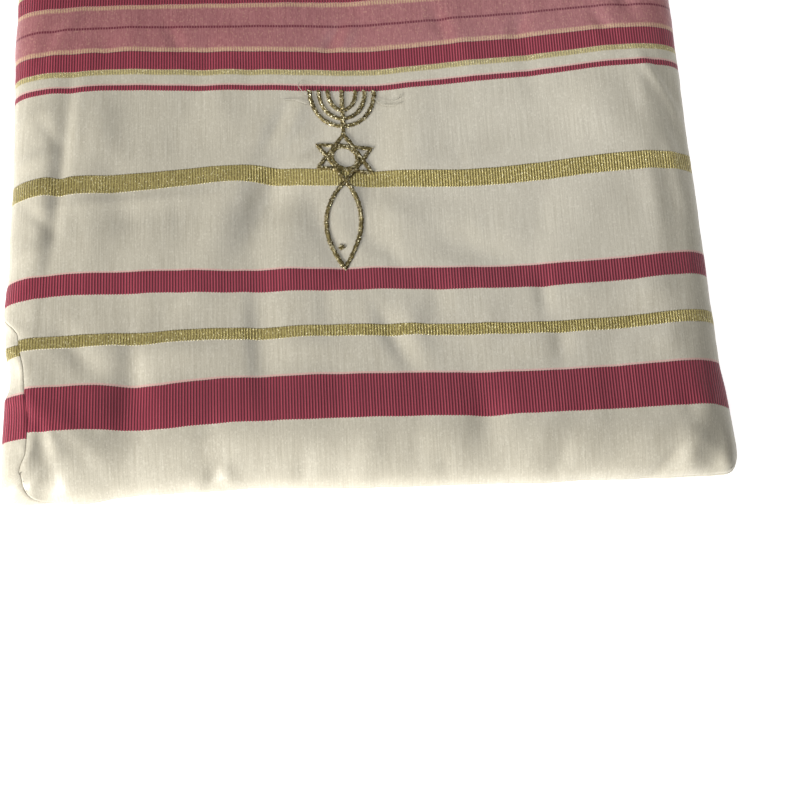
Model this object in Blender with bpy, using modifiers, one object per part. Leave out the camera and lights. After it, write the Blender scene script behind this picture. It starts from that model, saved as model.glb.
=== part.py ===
"""A zipped cloth bag, filled by the folded prayer shawl that it belongs to, lying on its back.

X runs across the bag, Y from its bottom seam towards the zip and Z up. The origin is on the
surface that the bag lies on, under the middle of the whole part. Sizes in this file are in
millimetres, and MM turns them into metres where a mesh is made.

The two panels are one skin, cut apart at the seam. Over the flat middle of the bag the skin is a
low crown with folds in it. Round that middle runs a border strip, where the skin bends down over
the side, past the widest point and in under the bag. A border table says how it does so at each
place round the bag, and where on that bend the seam lies.
"""

import math
from collections import namedtuple

import bmesh
import bpy
import numpy as np
from mathutils import Matrix, Vector

MM = 0.001

# Driving sizes of the bag
BAG_WIDTH = 280.0
BAG_HEIGHT = 250.0
CLOTH_WALL = 1.2
SEAM_GAP = 0.3
BORDER = 22.0
MIDDLE_HEIGHT = 18.6
CORNER_HEIGHT = 16.6
ZIP_END_HEIGHT = 14.6
WHOLE_PART_SHIFT = (-1.1, -0.55)

# How round the outline is at each corner, as the power of a superellipse
CORNER_POWER = {"bottom_left": 4.0, "bottom_right": 7.0, "top_right": 4.0, "top_left": 4.0}

# Zip
ZIP_LENGTH = 226.0
ZIP_OPEN_HALF = 4.0
ZIP_END_TAPER = 12.0
ZIP_END_PAST = 2.0
ZIP_MID_HEIGHT = 7.6
CHAIN_WIDTH = 4.4
CHAIN_THICKNESS = 2.1
CHAIN_SINK = 0.8
TAPE_THICKNESS = 1.0
TAPE_INSET = 0.2
SLIDER_LENGTH = 9.0
SLIDER_WIDTH = 6.4
SLIDER_TAIL_WIDTH = 5.0
SLIDER_PLATE = 1.1
SLIDER_X = 97.0
POST_LENGTH = 1.8
POST_WIDTH = 1.6
BRIDGE_LENGTH = 5.4
BRIDGE_WIDTH = 1.5
BRIDGE_THICKNESS = 0.8
BRIDGE_CLEAR = 1.5
TAB_LENGTH = 24.0
TAB_WIDTH = 5.6
TAB_END_WIDTH = 6.4
TAB_THICKNESS = 0.9
TAB_WINDOW_LENGTH = 3.8
TAB_WINDOW_WIDTH = 2.2
RUNNING_GAP = 0.3

# Folded shawl inside the bag
SHAWL_WIDTH = 256.0
SHAWL_LENGTH = 224.0
SHAWL_BOTTOM_CLEAR = 12.5
SHAWL_THICKNESS = 11.0
SHAWL_LAYERS = 5
SHAWL_LAYER_BULGE = 0.7
SHAWL_UNDER_INSET = 2.6
SHAWL_TOP_INSET = 6.0
SHAWL_CORNER = 9.0
SHAWL_CROWN = 1.6
SHAWL_CROWN_INSET = 38.0

# Finish of the meshes
MIDDLE_STEP = 9.0
BORDER_STEPS = (0.0, 0.2, 0.4, 0.56, 0.7, 0.82, 0.91, 0.965, 1.0)
PROFILE_POINTS = 12

# The border, going round the bag. turn counts corners: 0 is the bottom left corner, 1 the bottom
# right, 2 the top right and 3 the top left. outline is how far the widest point stands outside the
# plain rectangle, widest its height, upright the height of the straight side there, round_over and
# round_under the reach of the bends above and below it, and seam_up how far the seam lies above the
# widest point along the cloth.
Border = namedtuple("Border", "turn outline widest upright round_over round_under seam_up")
BORDERS = (
    Border(0.00, -0.4, 6.0, 1.0, 17.0, 8.0, 8.0),
    Border(0.04, -0.3, 6.2, 1.0, 18.0, 9.0, 1.5),
    Border(0.10, 0.8, 6.5, 1.0, 18.0, 10.0, -0.5),
    Border(0.20, -1.3, 7.2, 1.5, 20.0, 10.0, -1.0),
    Border(0.35, -1.8, 7.5, 1.5, 20.0, 10.0, -1.0),
    Border(0.52, 0.3, 7.5, 1.5, 20.0, 10.0, -1.0),
    Border(0.80, 1.5, 7.5, 1.5, 20.0, 10.0, -1.0),
    Border(0.95, 1.7, 6.5, 1.0, 18.0, 10.0, 0.0),
    Border(1.00, 2.4, 5.5, 0.6, 16.0, 8.0, 0.5),
    Border(1.05, 2.8, 6.0, 0.8, 17.0, 10.0, 0.0),
    Border(1.20, 0.3, 7.5, 1.5, 20.0, 10.0, -1.5),
    Border(1.55, -0.2, 8.0, 1.5, 21.5, 10.0, -2.0),
    Border(1.85, 0.0, 7.6, 1.5, 20.0, 10.0, -1.0),
    Border(2.00, 0.0, 6.6, 2.0, 16.0, 8.0, 0.0),
    Border(2.07, 0.0, 7.6, 9.8, 14.0, 5.0, 0.0),
    Border(2.93, 0.0, 7.6, 9.8, 14.0, 5.0, 0.0),
    Border(3.00, 0.0, 6.6, 2.0, 16.0, 8.0, 0.0),
    Border(3.15, 0.5, 7.6, 1.5, 19.0, 10.0, -1.0),
    Border(3.42, -0.6, 8.0, 1.0, 20.0, 10.0, -2.0),
    Border(3.60, -0.4, 8.2, 2.0, 18.0, 10.0, -1.0),
    Border(3.66, 0.4, 8.4, 2.5, 17.0, 10.0, 1.5),
    Border(3.72, 0.2, 8.4, 3.0, 16.0, 10.0, 11.0),
    Border(3.80, -0.2, 8.4, 3.0, 16.0, 10.0, 13.5),
    Border(3.89, -0.4, 8.4, 3.0, 16.0, 10.0, 15.0),
    Border(3.95, 0.2, 7.4, 2.0, 16.0, 10.0, 15.5),
    Border(4.00, -0.4, 6.0, 1.0, 17.0, 8.0, 8.0),
)

# Largest folds in the front: where the middle of each lies (x from the middle of the bag, up from
# its bottom seam), which way it runs (degrees from +X), how far it reaches along and across, and
# its height, which is below zero in a trough.
Fold = namedtuple("Fold", "x up heading along across height")
FOLDS = (
    Fold(-119.0, 138.0, 90.0, 46.0, 5.0, -1.9),
    Fold(-129.0, 128.0, 90.0, 40.0, 5.0, 1.5),
    Fold(-108.0, 138.0, 90.0, 40.0, 8.0, 0.8),
    Fold(-122.5, 21.0, 82.0, 12.0, 4.5, -2.2),
    Fold(-121.0, 10.5, 50.0, 10.0, 3.5, 2.0),
    Fold(-111.0, 22.0, -48.0, 15.0, 5.0, 1.4),
    Fold(-91.0, 38.0, 85.0, 22.0, 6.5, -1.3),
    Fold(-58.0, 10.0, 15.0, 16.0, 6.0, -1.0),
    Fold(-41.0, 62.0, 92.0, 22.0, 6.0, -0.8),
    Fold(47.0, 22.0, 95.0, 18.0, 7.0, -1.1),
    Fold(84.0, 14.0, 70.0, 16.0, 8.0, 0.9),
    Fold(128.0, 14.0, 62.0, 17.0, 6.0, -2.6),
    Fold(110.0, 160.0, 80.0, 26.0, 15.0, 1.3),
    Fold(125.0, 110.0, 88.0, 40.0, 8.0, -1.2),
    Fold(-30.0, 122.0, 20.0, 22.0, 9.0, -1.1),
    Fold(28.0, 124.0, -20.0, 20.0, 8.0, -0.9),
    Fold(0.0, 205.0, 90.0, 30.0, 20.0, -1.0),
)

# Colours of the materials: linear red, green and blue, roughness and metallic
PAINT = {
    "striped_cloth": ((0.62, 0.57, 0.47), 0.6, 0.0),
    "shawl_cloth": ((0.60, 0.55, 0.46), 0.75, 0.0),
    "zip_tape": ((0.58, 0.53, 0.44), 0.8, 0.0),
    "zip_teeth": ((0.60, 0.56, 0.47), 0.45, 0.0),
    "zip_metal": ((0.52, 0.42, 0.22), 0.35, 1.0),
}


def smooth_step(value):
    """0 below 0 and 1 above 1, with a soft start and end between."""
    t = np.clip(value, 0.0, 1.0)
    return t * t * (3.0 - 2.0 * t)


def border_values(turn, column):
    """One column of the border table, read at each turn, softly between its rows."""
    turns = np.array([row.turn for row in BORDERS])
    values = np.array([getattr(row, column) for row in BORDERS])
    at = np.clip(np.searchsorted(turns, turn, side="right") - 1, 0, len(turns) - 2)
    share = smooth_step((turn - turns[at]) / (turns[at + 1] - turns[at]))
    return values[at] + (values[at + 1] - values[at]) * share


def fold_height(x, y):
    """Height that the folds add to the front at each place."""
    total = np.zeros_like(x)
    for fold in FOLDS:
        heading = math.radians(fold.heading)
        dx = x - fold.x
        dy = y + BAG_HEIGHT / 2 - fold.up
        along = (dx * math.cos(heading) + dy * math.sin(heading)) / fold.along
        across = (dy * math.cos(heading) - dx * math.sin(heading)) / fold.across
        total += fold.height * np.exp(-(along**2) - across**2)
    return total


def crown_height(x, y):
    """Height of the front over the flat middle of the bag, without its folds."""
    across = 1.0 - (x / (BAG_WIDTH / 2)) ** 4
    lengthwise = 1.0 - (y / (BAG_HEIGHT / 2)) ** 4
    full = CORNER_HEIGHT + (MIDDLE_HEIGHT - CORNER_HEIGHT) * across * lengthwise
    to_zip = smooth_step((y - 0.55 * BAG_HEIGHT / 2) / (0.45 * BAG_HEIGHT / 2))
    return full + (ZIP_END_HEIGHT - CORNER_HEIGHT) * to_zip


def border_place(u, v):
    """Where a point of the unbent skin lies in the border.

    Gives the nearest point of the flat middle, the share of the way out across the border, the
    direction outwards, and the turn round the bag.
    """
    half_x = BAG_WIDTH / 2 - BORDER
    half_y = BAG_HEIGHT / 2 - BORDER
    base_x = np.clip(u, -half_x, half_x)
    base_y = np.clip(v, -half_y, half_y)
    over_x = np.abs(u - base_x)
    over_y = np.abs(v - base_y)
    widest = np.maximum(over_x, over_y)
    ratio = np.where(widest > 0, np.minimum(over_x, over_y) / np.maximum(widest, 1e-9), 0.0)
    side_x = np.where(over_x > 0, np.sign(u) * (half_x + BORDER * ratio), u)
    side_y = np.where(over_y > 0, np.sign(v) * (half_y + BORDER * ratio), v)
    on_x_side = over_x >= over_y
    bottom = (side_x + BAG_WIDTH / 2) / BAG_WIDTH
    right = 1.0 + (side_y + BAG_HEIGHT / 2) / BAG_HEIGHT
    turn_x = np.where(u > 0, right, 5.0 - right)
    turn_y = np.where(v > 0, 3.0 - bottom, bottom)
    turn = np.where(on_x_side, turn_x, turn_y)
    power = np.select(
        [(u < 0) & (v < 0), (u > 0) & (v < 0), (u > 0) & (v > 0)],
        [CORNER_POWER["bottom_left"], CORNER_POWER["bottom_right"], CORNER_POWER["top_right"]],
        CORNER_POWER["top_left"],
    )
    length = (over_x**power + over_y**power) ** (1.0 / power)
    length = np.maximum(length, 1e-9)
    out_x = np.sign(u) * over_x / length
    out_y = np.sign(v) * over_y / length
    return base_x, base_y, widest / BORDER, out_x, out_y, turn


def zip_half(turn):
    """Half of the gap that the panels leave for the zip, measured along the skin."""
    from_middle = np.abs(turn - 2.5) * BAG_WIDTH
    to_end = ZIP_LENGTH / 2 + ZIP_END_PAST - from_middle
    return ZIP_OPEN_HALF * smooth_step(to_end / ZIP_END_TAPER)


def bend(turn, top):
    """The bend of the skin round the side, as points from the middle's edge to the middle's edge.

    Each row of the three tables is one place round the bag: how far out the bend's points lie,
    their height, and their distance along the skin. The widest point's distance comes with them.
    """
    reach = BORDER + border_values(turn, "outline")
    widest = border_values(turn, "widest")
    half_side = border_values(turn, "upright") / 2
    over = border_values(turn, "round_over")
    under = border_values(turn, "round_under")
    angles = np.linspace(0.0, math.pi / 2, PROFILE_POINTS)
    rise = (top - widest - half_side)[:, None]
    fall = (widest - half_side)[:, None]
    out_over = (reach - over)[:, None] + over[:, None] * np.sin(angles)
    height_over = (widest + half_side)[:, None] + rise * np.cos(angles)
    out_under = (reach - under)[:, None] + under[:, None] * np.cos(angles)
    height_under = fall * (1.0 - np.sin(angles))
    start = np.zeros((len(turn), 1))
    out = np.hstack([start, out_over, out_under, start])
    height = np.hstack([top[:, None], height_over, height_under, start])
    steps = np.hypot(np.diff(out, axis=1), np.diff(height, axis=1))
    distance = np.hstack([start, np.cumsum(steps, axis=1)])
    widest_distance = (distance[:, PROFILE_POINTS] + distance[:, PROFILE_POINTS + 1]) / 2
    return out, height, distance, widest_distance


def read_bend(out, height, distance, wanted):
    """Distance outwards and height at a wanted distance along each bend."""
    last = distance.shape[1] - 2
    at = np.clip((distance < wanted[:, None]).sum(axis=1) - 1, 0, last)
    rows = np.arange(len(wanted))
    length = np.maximum(distance[rows, at + 1] - distance[rows, at], 1e-9)
    share = (wanted - distance[rows, at]) / length
    out_here = out[rows, at] + (out[rows, at + 1] - out[rows, at]) * share
    height_here = height[rows, at] + (height[rows, at + 1] - height[rows, at]) * share
    return out_here, height_here


def skin(u, v, side):
    """Points of the outer skin for places on the unbent front or back panel."""
    base_x, base_y, share, out_x, out_y, turn = border_place(u, v)
    top = crown_height(base_x, base_y)
    out, height, distance, widest_distance = bend(turn, top)
    seam = widest_distance - border_values(turn, "seam_up")
    edge_gap = SEAM_GAP / 2 + zip_half(turn)
    if side == "front":
        wanted = share * (seam - edge_gap)
    else:
        whole = distance[:, -1]
        wanted = whole - share * (whole - seam - edge_gap)
    reach, z = read_bend(out, height, distance, wanted)
    x = base_x + out_x * reach
    y = base_y + out_y * reach
    edge = border_values(turn, "widest") + border_values(turn, "upright") / 2
    z = z + fold_height(x, y) * smooth_step((z - edge) / (top - edge))
    return np.stack([x + WHOLE_PART_SHIFT[0], y + WHOLE_PART_SHIFT[1], z], axis=1)


def stations(length, border_steps):
    """Grid lines across the unbent panel, close together in the border."""
    half = length / 2
    middle_half = half - BORDER
    count = 2 * round(middle_half / MIDDLE_STEP)
    middle = np.linspace(-middle_half, middle_half, count + 1)
    outer = middle_half + BORDER * np.array(border_steps[1:])
    return np.concatenate([-outer[::-1], middle, outer])


def make_material(name):
    """A plain material of the part's colour, roughness and metallic value."""
    colour, roughness, metallic = PAINT[name]
    material = bpy.data.materials.new(name)
    material.use_nodes = True
    shader = material.node_tree.nodes["Principled BSDF"]
    shader.inputs["Base Color"].default_value = (*colour, 1.0)
    shader.inputs["Roughness"].default_value = roughness
    shader.inputs["Metallic"].default_value = metallic
    material.diffuse_color = (*colour, 1.0)
    return material


def add_object(name, mesh, collection, material=None):
    """Put a mesh in the scene under its own name."""
    thing = bpy.data.objects.new(name, mesh)
    collection.objects.link(thing)
    if material is not None:
        mesh.materials.append(material)
    return thing


def thicken(thing, thickness):
    """Give an open surface a wall, inwards from its outer side."""
    wall = thing.modifiers.new("wall", "SOLIDIFY")
    wall.thickness = thickness * MM
    wall.offset = -1.0
    return wall


def grid_mesh(name, columns, rows, side, middle_open):
    """A panel's outer surface as a grid, with the flat middle of the back as one face."""
    u, v = np.meshgrid(columns, rows, indexing="ij")
    points = skin(u.ravel(), v.ravel(), side)
    limit_x = BAG_WIDTH / 2 - BORDER + 1e-6
    limit_y = BAG_HEIGHT / 2 - BORDER + 1e-6
    shape = bmesh.new()
    corners = [shape.verts.new(Vector(point) * MM) for point in points]
    across = len(rows)
    for i in range(len(columns) - 1):
        for j in range(len(rows) - 1):
            inside_x = max(abs(columns[i]), abs(columns[i + 1])) <= limit_x
            inside_y = max(abs(rows[j]), abs(rows[j + 1])) <= limit_y
            if middle_open and inside_x and inside_y:
                continue
            at = i * across + j
            loop = [corners[at], corners[at + across], corners[at + across + 1], corners[at + 1]]
            if side == "back":
                loop.reverse()
            shape.faces.new(loop)
    if middle_open:
        loose = [corner for corner in shape.verts if not corner.link_faces]
        bmesh.ops.delete(shape, geom=loose, context="VERTS")
        close_middle(shape, limit_x, limit_y)
    mesh = bpy.data.meshes.new(name)
    shape.to_mesh(mesh)
    shape.free()
    return mesh


def close_middle(shape, limit_x, limit_y):
    """Fill the flat middle of the back panel with one face that looks down."""
    inner = []
    for edge in shape.edges:
        middle = (edge.verts[0].co + edge.verts[1].co) / 2 / MM
        near_x = abs(middle.x - WHOLE_PART_SHIFT[0]) <= limit_x
        near_y = abs(middle.y - WHOLE_PART_SHIFT[1]) <= limit_y
        if edge.is_boundary and near_x and near_y:
            inner.append(edge)
    face = bmesh.ops.contextual_create(shape, geom=inner)["faces"][0]
    face.normal_update()
    if face.normal.z > 0:
        face.normal_flip()


def panel(name, side, collection, material):
    """The front or the back panel: a cloth wall on the outer skin."""
    columns = stations(BAG_WIDTH, BORDER_STEPS)
    rows = stations(BAG_HEIGHT, BORDER_STEPS)
    mesh = grid_mesh(name, columns, rows, side, middle_open=side == "back")
    thing = add_object(name, mesh, collection, material)
    thicken(thing, CLOTH_WALL)
    mesh.shade_smooth()
    return thing


def rounded_outline(half_x, half_y, radius, corner_steps=5, side_steps=6):
    """Points round a rectangle with round corners, going anticlockwise."""
    points = []
    turns = ((1, 1, 0.0), (-1, 1, 90.0), (-1, -1, 180.0), (1, -1, 270.0))
    for sign_x, sign_y, start in turns:
        centre_x = sign_x * (half_x - radius)
        centre_y = sign_y * (half_y - radius)
        for step in range(corner_steps + 1):
            angle = math.radians(start + 90.0 * step / corner_steps)
            points.append((centre_x + radius * math.cos(angle), centre_y + radius * math.sin(angle)))
        follow = {0.0: (-1, 0), 90.0: (0, -1), 180.0: (1, 0), 270.0: (0, 1)}[start]
        length = 2 * (abs(follow[0]) * (half_x - radius) + abs(follow[1]) * (half_y - radius))
        last_x, last_y = points[-1]
        for step in range(1, side_steps):
            move = length * step / side_steps
            points.append((last_x + follow[0] * move, last_y + follow[1] * move))
    return points


def folded_shawl(collection, material):
    """The shawl folded flat, its hidden layers one solid with the folds showing at its edges."""
    base = CLOTH_WALL + SEAM_GAP
    centre_x = WHOLE_PART_SHIFT[0]
    centre_y = -BAG_HEIGHT / 2 + SHAWL_BOTTOM_CLEAR + SHAWL_LENGTH / 2 + WHOLE_PART_SHIFT[1]
    layer = SHAWL_THICKNESS / SHAWL_LAYERS
    levels = []
    for index in range(SHAWL_LAYERS):
        for share, bulge in ((0.0, 0.0), (0.3, 0.85), (0.7, 0.85)):
            levels.append(((index + share) * layer, bulge))
    levels.append((SHAWL_THICKNESS, 0.0))
    shape = bmesh.new()
    rings = []
    for level, bulge in levels:
        from_middle = 2.0 * level / SHAWL_THICKNESS - 1.0
        reach = SHAWL_TOP_INSET if from_middle > 0 else SHAWL_UNDER_INSET
        inset = reach * (1.0 - math.sqrt(1.0 - from_middle**2)) + SHAWL_LAYER_BULGE * (1.0 - bulge)
        outline = rounded_outline(SHAWL_WIDTH / 2 - inset, SHAWL_LENGTH / 2 - inset, SHAWL_CORNER)
        ring = []
        for x, y in outline:
            place = Vector((x + centre_x, y + centre_y, base + level))
            ring.append(shape.verts.new(place * MM))
        rings.append(ring)
    for lower, upper in zip(rings, rings[1:]):
        count = len(lower)
        for index in range(count):
            after = (index + 1) % count
            shape.faces.new((lower[index], lower[after], upper[after], upper[index]))
    shape.faces.new(list(reversed(rings[0])))
    crown = shape.faces.new(rings[-1])
    bmesh.ops.inset_region(shape, faces=[crown], thickness=SHAWL_CROWN_INSET * MM)
    for corner in crown.verts:
        corner.co.z += SHAWL_CROWN * MM
    mesh = bpy.data.meshes.new("folded_shawl")
    shape.to_mesh(mesh)
    shape.free()
    thing = add_object("folded_shawl", mesh, collection, material)
    mesh.shade_smooth()
    mesh.set_sharp_from_angle(angle=math.radians(50))
    return thing


def box(name, size, centre, collection, material=None, bevel=0.0):
    """A block of a given size about a centre, with its edges eased if asked."""
    shape = bmesh.new()
    bmesh.ops.create_cube(shape, size=1.0)
    bmesh.ops.scale(shape, vec=Vector(size) * MM, verts=shape.verts)
    bmesh.ops.translate(shape, vec=Vector(centre) * MM, verts=shape.verts)
    mesh = bpy.data.meshes.new(name)
    shape.to_mesh(mesh)
    shape.free()
    thing = add_object(name, mesh, collection, material)
    if bevel > 0:
        ease = thing.modifiers.new("eased_edges", "BEVEL")
        ease.width = bevel * MM
        ease.segments = 2
        ease.limit_method = "ANGLE"
    return thing


def flat_plate(name, outlines, thickness, collection, material=None):
    """A plate cut to a flat outline in the X-Y plane, with windows, made into a mesh."""
    curve = bpy.data.curves.new(name, "CURVE")
    curve.dimensions = "2D"
    curve.fill_mode = "BOTH"
    curve.extrude = thickness / 2 * MM
    for outline in outlines:
        spline = curve.splines.new("POLY")
        spline.points.add(len(outline) - 1)
        for point, (x, y) in zip(spline.points, outline):
            point.co = (x * MM, y * MM, 0.0, 1.0)
        spline.use_cyclic_u = True
    drawn = bpy.data.objects.new(name + "_outline", curve)
    collection.objects.link(drawn)
    bpy.context.view_layer.update()
    depsgraph = bpy.context.evaluated_depsgraph_get()
    mesh = bpy.data.meshes.new_from_object(drawn.evaluated_get(depsgraph))
    mesh.name = name
    bpy.data.objects.remove(drawn)
    shape = bmesh.new()
    shape.from_mesh(mesh)
    bmesh.ops.remove_doubles(shape, verts=shape.verts, dist=0.00001)
    bmesh.ops.recalc_face_normals(shape, faces=shape.faces)
    shape.to_mesh(mesh)
    shape.free()
    return add_object(name, mesh, collection, material)


def unite(thing, other, guides):
    """Join another solid to this one, and keep it only as a guide."""
    join = thing.modifiers.new("with_" + other.name, "BOOLEAN")
    join.operation = "UNION"
    join.object = other
    for home in list(other.users_collection):
        home.objects.unlink(other)
    guides.objects.link(other)
    other.hide_render = True
    other.display_type = "WIRE"


def zip_face_y():
    """The outer face of the bag's zip end."""
    return BAG_HEIGHT / 2 + WHOLE_PART_SHIFT[1]


def chain_start():
    """The end of the chain that lies away from the slider."""
    return ZIP_END_TAPER - ZIP_LENGTH / 2


def zip_tapes(collection, material):
    """The two tapes, each behind a panel's edge. They close up past the chain and the slider."""
    centre_y = zip_face_y() - CLOTH_WALL - SEAM_GAP - TAPE_THICKNESS / 2
    beside_chain = CHAIN_WIDTH / 2 + SEAM_GAP
    beside_other = SEAM_GAP / 2
    outer = ZIP_OPEN_HALF - TAPE_INSET
    end = ZIP_LENGTH / 2
    past_slider = SLIDER_X + SLIDER_LENGTH / 2 + 2 * RUNNING_GAP
    past_chain = chain_start() - RUNNING_GAP
    outline = [
        (-end, beside_other),
        (past_chain, beside_other),
        (past_chain, beside_chain),
        (past_slider, beside_chain),
        (past_slider, beside_other),
        (end, beside_other),
        (end, outer),
        (-end, outer),
    ]
    for name, sign in (("zip_tape_front", 1), ("zip_tape_back", -1)):
        side = [(x, z * sign) for x, z in outline]
        tape = flat_plate(name, [side], TAPE_THICKNESS, collection, material)
        stand_plate(tape, (WHOLE_PART_SHIFT[0], centre_y, ZIP_MID_HEIGHT))


def zip_chain(collection, material):
    """The closed chain, from the far end of the zip to the slider's post."""
    start = chain_start()
    end = SLIDER_X + SLIDER_LENGTH / 2 - POST_LENGTH - RUNNING_GAP
    centre = (
        (start + end) / 2 + WHOLE_PART_SHIFT[0],
        zip_face_y() - CHAIN_SINK - CHAIN_THICKNESS / 2,
        ZIP_MID_HEIGHT,
    )
    size = (end - start, CHAIN_THICKNESS, CHAIN_WIDTH)
    return box("zip_chain", size, centre, collection, material, bevel=0.4)


def stand_plate(thing, centre):
    """Turn a plate that was drawn flat to face +Y, and move it to its place on the zip."""
    turn = Matrix.Rotation(math.radians(90), 4, "X")
    thing.data.transform(turn)
    thing.data.transform(Matrix.Translation(Vector(centre) * MM))


def slider_outline():
    """The slider's plate seen from outside: a broad nose at its post and a narrower tail."""
    half = SLIDER_LENGTH / 2
    nose = SLIDER_WIDTH / 2
    tail = SLIDER_TAIL_WIDTH / 2
    corner = 1.0
    return [
        (-half, -tail + corner),
        (-half + corner, -tail),
        (half * 0.2, -nose),
        (half - corner, -nose),
        (half, -nose + corner),
        (half, nose - corner),
        (half - corner, nose),
        (half * 0.2, nose),
        (-half + corner, tail),
        (-half, tail - corner),
    ]


def bar_y():
    """How far out the pull tab's bar, and so the tab's axis, lies."""
    plate_top = zip_face_y() - CHAIN_SINK + RUNNING_GAP + SLIDER_PLATE
    return plate_top + BRIDGE_CLEAR / 2


def zip_slider(collection, guides, material):
    """The slider: two plates round the chain, the post between them and the bridge for the tab."""
    chain_out = zip_face_y() - CHAIN_SINK
    chain_in = chain_out - CHAIN_THICKNESS
    x = SLIDER_X + WHOLE_PART_SHIFT[0]
    out_y = chain_out + RUNNING_GAP + SLIDER_PLATE / 2
    in_y = chain_in - RUNNING_GAP - SLIDER_PLATE / 2
    slider = flat_plate("zip_slider", [slider_outline()], SLIDER_PLATE, collection, material)
    stand_plate(slider, (x, out_y, ZIP_MID_HEIGHT))
    inner_plate = flat_plate("slider_inner_plate", [slider_outline()], SLIDER_PLATE, collection)
    stand_plate(inner_plate, (x, in_y, ZIP_MID_HEIGHT))
    post_x = x + SLIDER_LENGTH / 2 - POST_LENGTH / 2
    post_size = (POST_LENGTH, out_y - in_y, POST_WIDTH)
    post = box("slider_post", post_size, (post_x, (out_y + in_y) / 2, ZIP_MID_HEIGHT), collection)
    foot_height = SLIDER_PLATE / 2 + BRIDGE_CLEAR + BRIDGE_THICKNESS
    foot_size = (BRIDGE_THICKNESS, foot_height, BRIDGE_WIDTH)
    joined = [inner_plate, post]
    for name, sign in (("slider_bridge_foot_a", -1), ("slider_bridge_foot_b", 1)):
        foot_x = x + sign * (BRIDGE_LENGTH - BRIDGE_THICKNESS) / 2
        foot_centre = (foot_x, out_y + foot_height / 2, ZIP_MID_HEIGHT)
        joined.append(box(name, foot_size, foot_centre, collection))
    beam_y = out_y + foot_height - BRIDGE_THICKNESS / 2
    beam_size = (BRIDGE_LENGTH - 0.1, BRIDGE_THICKNESS - 0.1, BRIDGE_WIDTH - 0.1)
    joined.append(box("slider_bridge_beam", beam_size, (x, beam_y, ZIP_MID_HEIGHT), collection))
    for other in joined:
        unite(slider, other, guides)
    return slider


def pull_tab(collection, material):
    """The pull tab, lying along the zip. Its end bar passes under the slider's bridge."""
    bar = 0.9
    half = TAB_WIDTH / 2
    end_half = TAB_END_WIDTH / 2
    outer = [
        (bar / 2, -half + 0.6),
        (bar / 2, half - 0.6),
        (bar / 2 - 0.6, half),
        (-TAB_WINDOW_LENGTH - 2.0, half),
        (-TAB_LENGTH * 0.55, half * 0.8),
    ]
    end_x = -TAB_LENGTH + end_half
    outer.append((end_x, end_half))
    for step in range(1, 8):
        angle = math.radians(90 + 180 * step / 8)
        outer.append((end_x + end_half * math.cos(angle), end_half * math.sin(angle)))
    outer.append((end_x, -end_half))
    outer.append((-TAB_LENGTH * 0.55, -half * 0.8))
    outer.append((-TAB_WINDOW_LENGTH - 2.0, -half))
    outer.append((bar / 2 - 0.6, -half))
    window = [
        (-bar / 2, -TAB_WINDOW_WIDTH / 2),
        (-bar / 2, TAB_WINDOW_WIDTH / 2),
        (-bar / 2 - TAB_WINDOW_LENGTH, TAB_WINDOW_WIDTH / 2),
        (-bar / 2 - TAB_WINDOW_LENGTH, -TAB_WINDOW_WIDTH / 2),
    ]
    tab = flat_plate("zip_pull_tab", [outer, window], TAB_THICKNESS, collection, material)
    turn = Matrix.Rotation(math.radians(90), 4, "X")
    tab.data.transform(turn)
    tab.location = Vector((SLIDER_X + WHOLE_PART_SHIFT[0], bar_y(), ZIP_MID_HEIGHT)) * MM
    ease = tab.modifiers.new("eased_edges", "BEVEL")
    ease.width = 0.15 * MM
    ease.segments = 1
    ease.limit_method = "ANGLE"
    return tab


def build():
    """Build the whole part."""
    for thing in list(bpy.data.objects):
        bpy.data.objects.remove(thing)
    parts = bpy.data.collections.new("tallit_bag")
    guides = bpy.data.collections.new("guides")
    for collection in (parts, guides):
        bpy.context.scene.collection.children.link(collection)
    paints = {name: make_material(name) for name in PAINT}
    panel("front_panel", "front", parts, paints["striped_cloth"])
    panel("back_panel", "back", parts, paints["striped_cloth"])
    folded_shawl(parts, paints["shawl_cloth"])
    zip_tapes(parts, paints["zip_tape"])
    zip_chain(parts, paints["zip_teeth"])
    zip_slider(parts, guides, paints["zip_metal"])
    pull_tab(parts, paints["zip_metal"])


build()
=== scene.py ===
"""The looks of a zipped cloth bag that is filled by the folded prayer shawl it belongs to.

Sizes are in millimetres, as in the part's source, and MM turns them into metres where a mesh is
made. The cloth of each panel is a thin shell on the same skin as its solid, with finer folds. Places
on the cloth are given as across (from the bag's middle line, + to the right) and up (from the
bottom seam), both measured along the cloth.
"""

import math
import random
from collections import namedtuple

import bpy
import numpy as np
from mathutils import Matrix, Vector


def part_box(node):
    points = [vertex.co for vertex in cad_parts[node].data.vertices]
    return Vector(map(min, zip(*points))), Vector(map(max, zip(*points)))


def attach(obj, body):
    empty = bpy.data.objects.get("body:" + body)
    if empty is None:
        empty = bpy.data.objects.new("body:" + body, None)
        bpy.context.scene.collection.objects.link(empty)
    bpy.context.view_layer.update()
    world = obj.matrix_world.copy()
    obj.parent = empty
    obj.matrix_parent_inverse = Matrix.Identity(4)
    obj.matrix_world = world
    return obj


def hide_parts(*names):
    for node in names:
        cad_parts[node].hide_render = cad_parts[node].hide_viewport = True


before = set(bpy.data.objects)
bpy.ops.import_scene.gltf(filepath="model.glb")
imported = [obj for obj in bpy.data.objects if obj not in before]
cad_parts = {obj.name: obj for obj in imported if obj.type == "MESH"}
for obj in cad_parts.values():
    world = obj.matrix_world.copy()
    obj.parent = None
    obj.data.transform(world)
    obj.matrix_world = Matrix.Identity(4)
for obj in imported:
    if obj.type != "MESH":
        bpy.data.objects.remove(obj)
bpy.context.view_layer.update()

MM = 0.001
TINY = 1e-9

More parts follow.
